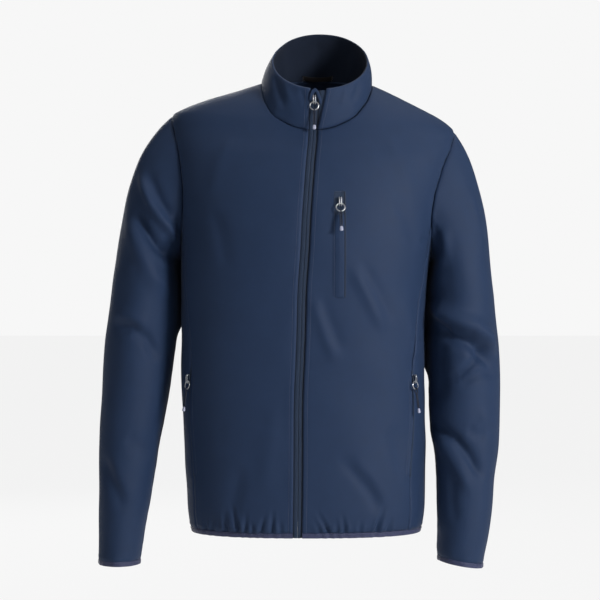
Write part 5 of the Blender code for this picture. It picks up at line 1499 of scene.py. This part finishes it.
def stitchPiece(name, lines, material, pitch=stitchForm["pitch"], radius=stitchForm["radius"]):
    # one bead a stitch: three rings of radius * sqrt(1 - s^2) along its length, closed by two poles
    beads = [evenly(path, out, pitch) for path, out in lines]
    spot, lift, run = [np.concatenate(part) for part in zip(*beads)]
    half = pitch * stitchForm["share"] / 2
    sides = stitchForm["sides"]
    turn = np.linspace(0, 2 * math.pi, sides, endpoint=False)
    bead = [(-half, 0.0, 0.0)]
    for s in (-0.7, 0.0, 0.7):
        reach = radius * math.sqrt(1 - s * s)
        bead += [(s * half, reach * math.cos(a), reach * math.sin(a)) for a in turn]
    bead = np.array(bead + [(half, 0.0, 0.0)])
    side = np.cross(run, lift)
    spot = spot + stitchForm["lift"] * lift
    points = (spot[:, None] + bead[None, :, 0:1] * run[:, None] + bead[None, :, 1:2] * side[:, None]
              + bead[None, :, 2:3] * lift[:, None]).reshape(-1, 3)
    around, onward = np.arange(sides), (np.arange(sides) + 1) % sides
    first, second, third = 1, 1 + sides, 1 + 2 * sides
    quads = np.concatenate([np.stack([low + around, high + around, high + onward, low + onward], axis=-1)
                            for low, high in ((first, second), (second, third))])
    ends = np.concatenate([np.stack([np.zeros(sides, int), first + around, first + onward], axis=-1),
                           np.stack([np.full(sides, len(bead) - 1), third + onward, third + around],
                                    axis=-1)])
    step = len(bead) * np.arange(len(spot))[:, None, None]
    faces = (quads[None] + step).reshape(-1, 4).tolist() + (ends[None] + step).reshape(-1, 3).tolist()
    mesh = bpy.data.meshes.new(name)
    mesh.from_pydata((points * mm).tolist(), [], faces)
    return dressed(name, mesh, material, "jacket")


def lineInside(points, out, distance, fromRight=False):
    # the line at a distance from a grid's left or right edge, row by row
    if fromRight:
        points, out = points[:, ::-1], out[:, ::-1]
    left = edgeDistances(points)[0]
    k = np.argmax(left > distance, axis=1)
    rows = np.arange(len(points))
    t = ((distance - left[rows, k - 1]) / (left[rows, k] - left[rows, k - 1]))[:, None]
    return points[rows, k - 1] * (1 - t) + points[rows, k] * t, out[rows, k]


def makeStitches():
    # beside the zip, along the bindings, round the pockets and across the hanger loop's ends
    away = frontPanel["stitchFromFold"]
    lines = [lineInside(frontRightPoints, frontRightOut, away),
             lineInside(frontLeftPoints, frontLeftOut, away),
             lineInside(collarPoints, collarOut, away), lineInside(collarPoints, collarOut, away, True)]
    stitchPiece("stitches_zip_edges", lines, threadMaterial)
    drop = seamGap + stitchForm["bindingDrop"]
    lift = stitchForm["bindingLift"]
    lines = [(hemEdge + lift * hemOut - (0, 0, drop), hemOut)]
    for points, out in ((sleeveRightPoints, sleeveRightOut), (sleeveLeftPoints, sleeveLeftOut)):
        side = unit(out[-1] * (1, 1, 0))
        line = points[-1] + lift * side - (0, 0, drop)
        lines.append((np.concatenate([line, line[:1]]), np.concatenate([side, side[:1]])))
    stitchPiece("stitches_bindings", lines, threadMaterial)
    pocket = chestPocket
    inset = pocket["stitchIn"]
    xEnds = (pocket["x0"] + inset, pocket["x1"] - inset)
    zEnds = (pocket["z0"] + inset, pocket["z1"] - inset)
    runs = [(np.full(120, x), np.linspace(*zEnds, 120)) for x in xEnds]
    runs += [(np.linspace(*xEnds, 20), np.full(20, z)) for z in zEnds]
    lines = []
    for number, (x, z) in enumerate(runs):
        points, out = onPanel(angleAt(x, z), z, 1)
        overWelt = (x < pocket["weltX1"]) & (z < pocket["weltZ1"])
        lift = np.where(overWelt, stitchForm["weltLift"][min(number, 1)], stitchForm["tapeLift"])
        lines.append((points + lift[:, None] * out, out))
    for sign in (-1, 1):
        z = np.linspace(handPocket["z0"], handPocket["weltTop"], 90)
        reach = handPocket["tape"] / 2 + handPocket["welt"] - 1.2
        points, out = onPanel(sign * (seamAngleAt(z) - reach / degreeWidth), z, sign)
        lines.append((points + 0.2 * out, out))
    stitchPiece("stitches_pockets", lines, threadMaterial, pitch=2.2, radius=0.22)
    bars = []
    for column in (3, -4):
        for turn in (-1.4, 0.0, 1.4):
            line = hangerPoints[:, column] + (turn, -0.2, 0.0)
            bars.append((np.concatenate([line[:1] - (0, 0, 2.0), line[[0, -1]]]),
                         np.broadcast_to(hangerForm["facing"], (3, 3))))
    stitchPiece("stitches_hanger_loop", bars, paleThreadMaterial, pitch=1.1, radius=0.25)


makeStitches()
print("stage: stitches")
studio = {
    "light": 0.11,
    "backdrop": 0.93,      # shown brightness of the backdrop, and of the floor nearly in full
    "floorShare": 0.95,
    "floor": (30.0, -0.9),    # half size, height
    "lens": 118.4,
    "sensor": 36.0,
    "eye": (-0.0213, -3.0, -0.304),
    "sees": (-0.0213, 0.0, -0.304),
    # softboxes: place, target, width, height, power
    "key": ((2.35, -2.1, 0.55), (0.0, 0.0, -0.32), 0.8, 0.8, 78.0),
    "fill": ((-1.7, -1.7, 1.25), (-0.1, 0.0, 0.0), 0.8, 0.8, 7.0),
    "top": ((0.4, 0.3, 2.3), (0.0, 0.0, -0.2), 1.8, 1.4, 24.0),
    "rear": ((-0.9, 2.5, 0.8), (0.0, 0.0, -0.3), 1.6, 1.6, 42.0),
}
floorMaterial = Finish("studio_floor_pale", (0.86, 0.86, 0.87), 0.85)
floorTone = floorMaterial.noise(floorMaterial.place(), 1.5, 2.0)
floorMaterial.feed("Base Color", floorMaterial.mix(floorTone, (0.85, 0.85, 0.86), (0.88, 0.88, 0.88)))
glow = floorMaterial.node("ShaderNodeEmission", {}, (1.0, 1.0, 1.0, 1.0), studio["backdrop"])
straight = floorMaterial.node("ShaderNodeLightPath", {}, out="Is Camera Ray") * studio["floorShare"]
diffuse = Wire(floorMaterial, floorMaterial.shader.outputs[0])
either = floorMaterial.node("ShaderNodeMixShader", {}, straight, diffuse, glow)
floorMaterial.tree.links.new(either.socket, floorMaterial.tree.nodes["Material Output"].inputs[0])
floorMesh = bpy.data.meshes.new("studio_floor")
reach, level = studio["floor"]
floorMesh.from_pydata([(x * reach, y * reach, level) for x, y in ((-1, -1), (1, -1), (1, 1), (-1, 1))],
                      [], [(0, 1, 2, 3)])
floorMesh.materials.append(floorMaterial.material)
studioFloor = placed("studio_floor", floorMesh)

bpy.context.scene.view_settings.view_transform = "Standard"
world = bpy.data.worlds.new("studio")
world.use_nodes = True
sky = world.node_tree.nodes["Background"]
sky.inputs["Color"].default_value = (1.0, 1.0, 1.0, 1.0)
sky.inputs["Strength"].default_value = studio["light"]
# the backdrop shows brighter than the light that it gives
seen = world.node_tree.nodes.new("ShaderNodeBackground")
seen.inputs["Color"].default_value = (1.0, 1.0, 1.0, 1.0)
seen.inputs["Strength"].default_value = studio["backdrop"]
rays = world.node_tree.nodes.new("ShaderNodeLightPath")
either = world.node_tree.nodes.new("ShaderNodeMixShader")
world.node_tree.links.new(rays.outputs["Is Camera Ray"], either.inputs[0])
world.node_tree.links.new(sky.outputs[0], either.inputs[1])
world.node_tree.links.new(seen.outputs[0], either.inputs[2])
world.node_tree.links.new(either.outputs[0], world.node_tree.nodes["World Output"].inputs[0])
bpy.context.scene.world = world


def aim(obj, place, target):
    # stands at place and looks along its own -Z at target
    obj.location = place
    obj.rotation_euler = (Vector(target) - Vector(place)).to_track_quat("-Z", "Y").to_euler()


for lamp in ("key", "fill", "top", "rear"):
    place, target, width, height, power = studio[lamp]
    light = bpy.data.lights.new("softbox_" + lamp, "AREA")
    light.shape = "RECTANGLE"
    light.size, light.size_y, light.energy = width, height, power
    aim(placed("softbox_" + lamp, light), place, target)

camera = bpy.data.cameras.new("view")
camera.sensor_width = studio["sensor"]
camera.lens = studio["lens"]
eye = placed("view", camera)
aim(eye, studio["eye"], studio["sees"])
bpy.context.scene.camera = eye
print("stage: studio and camera")
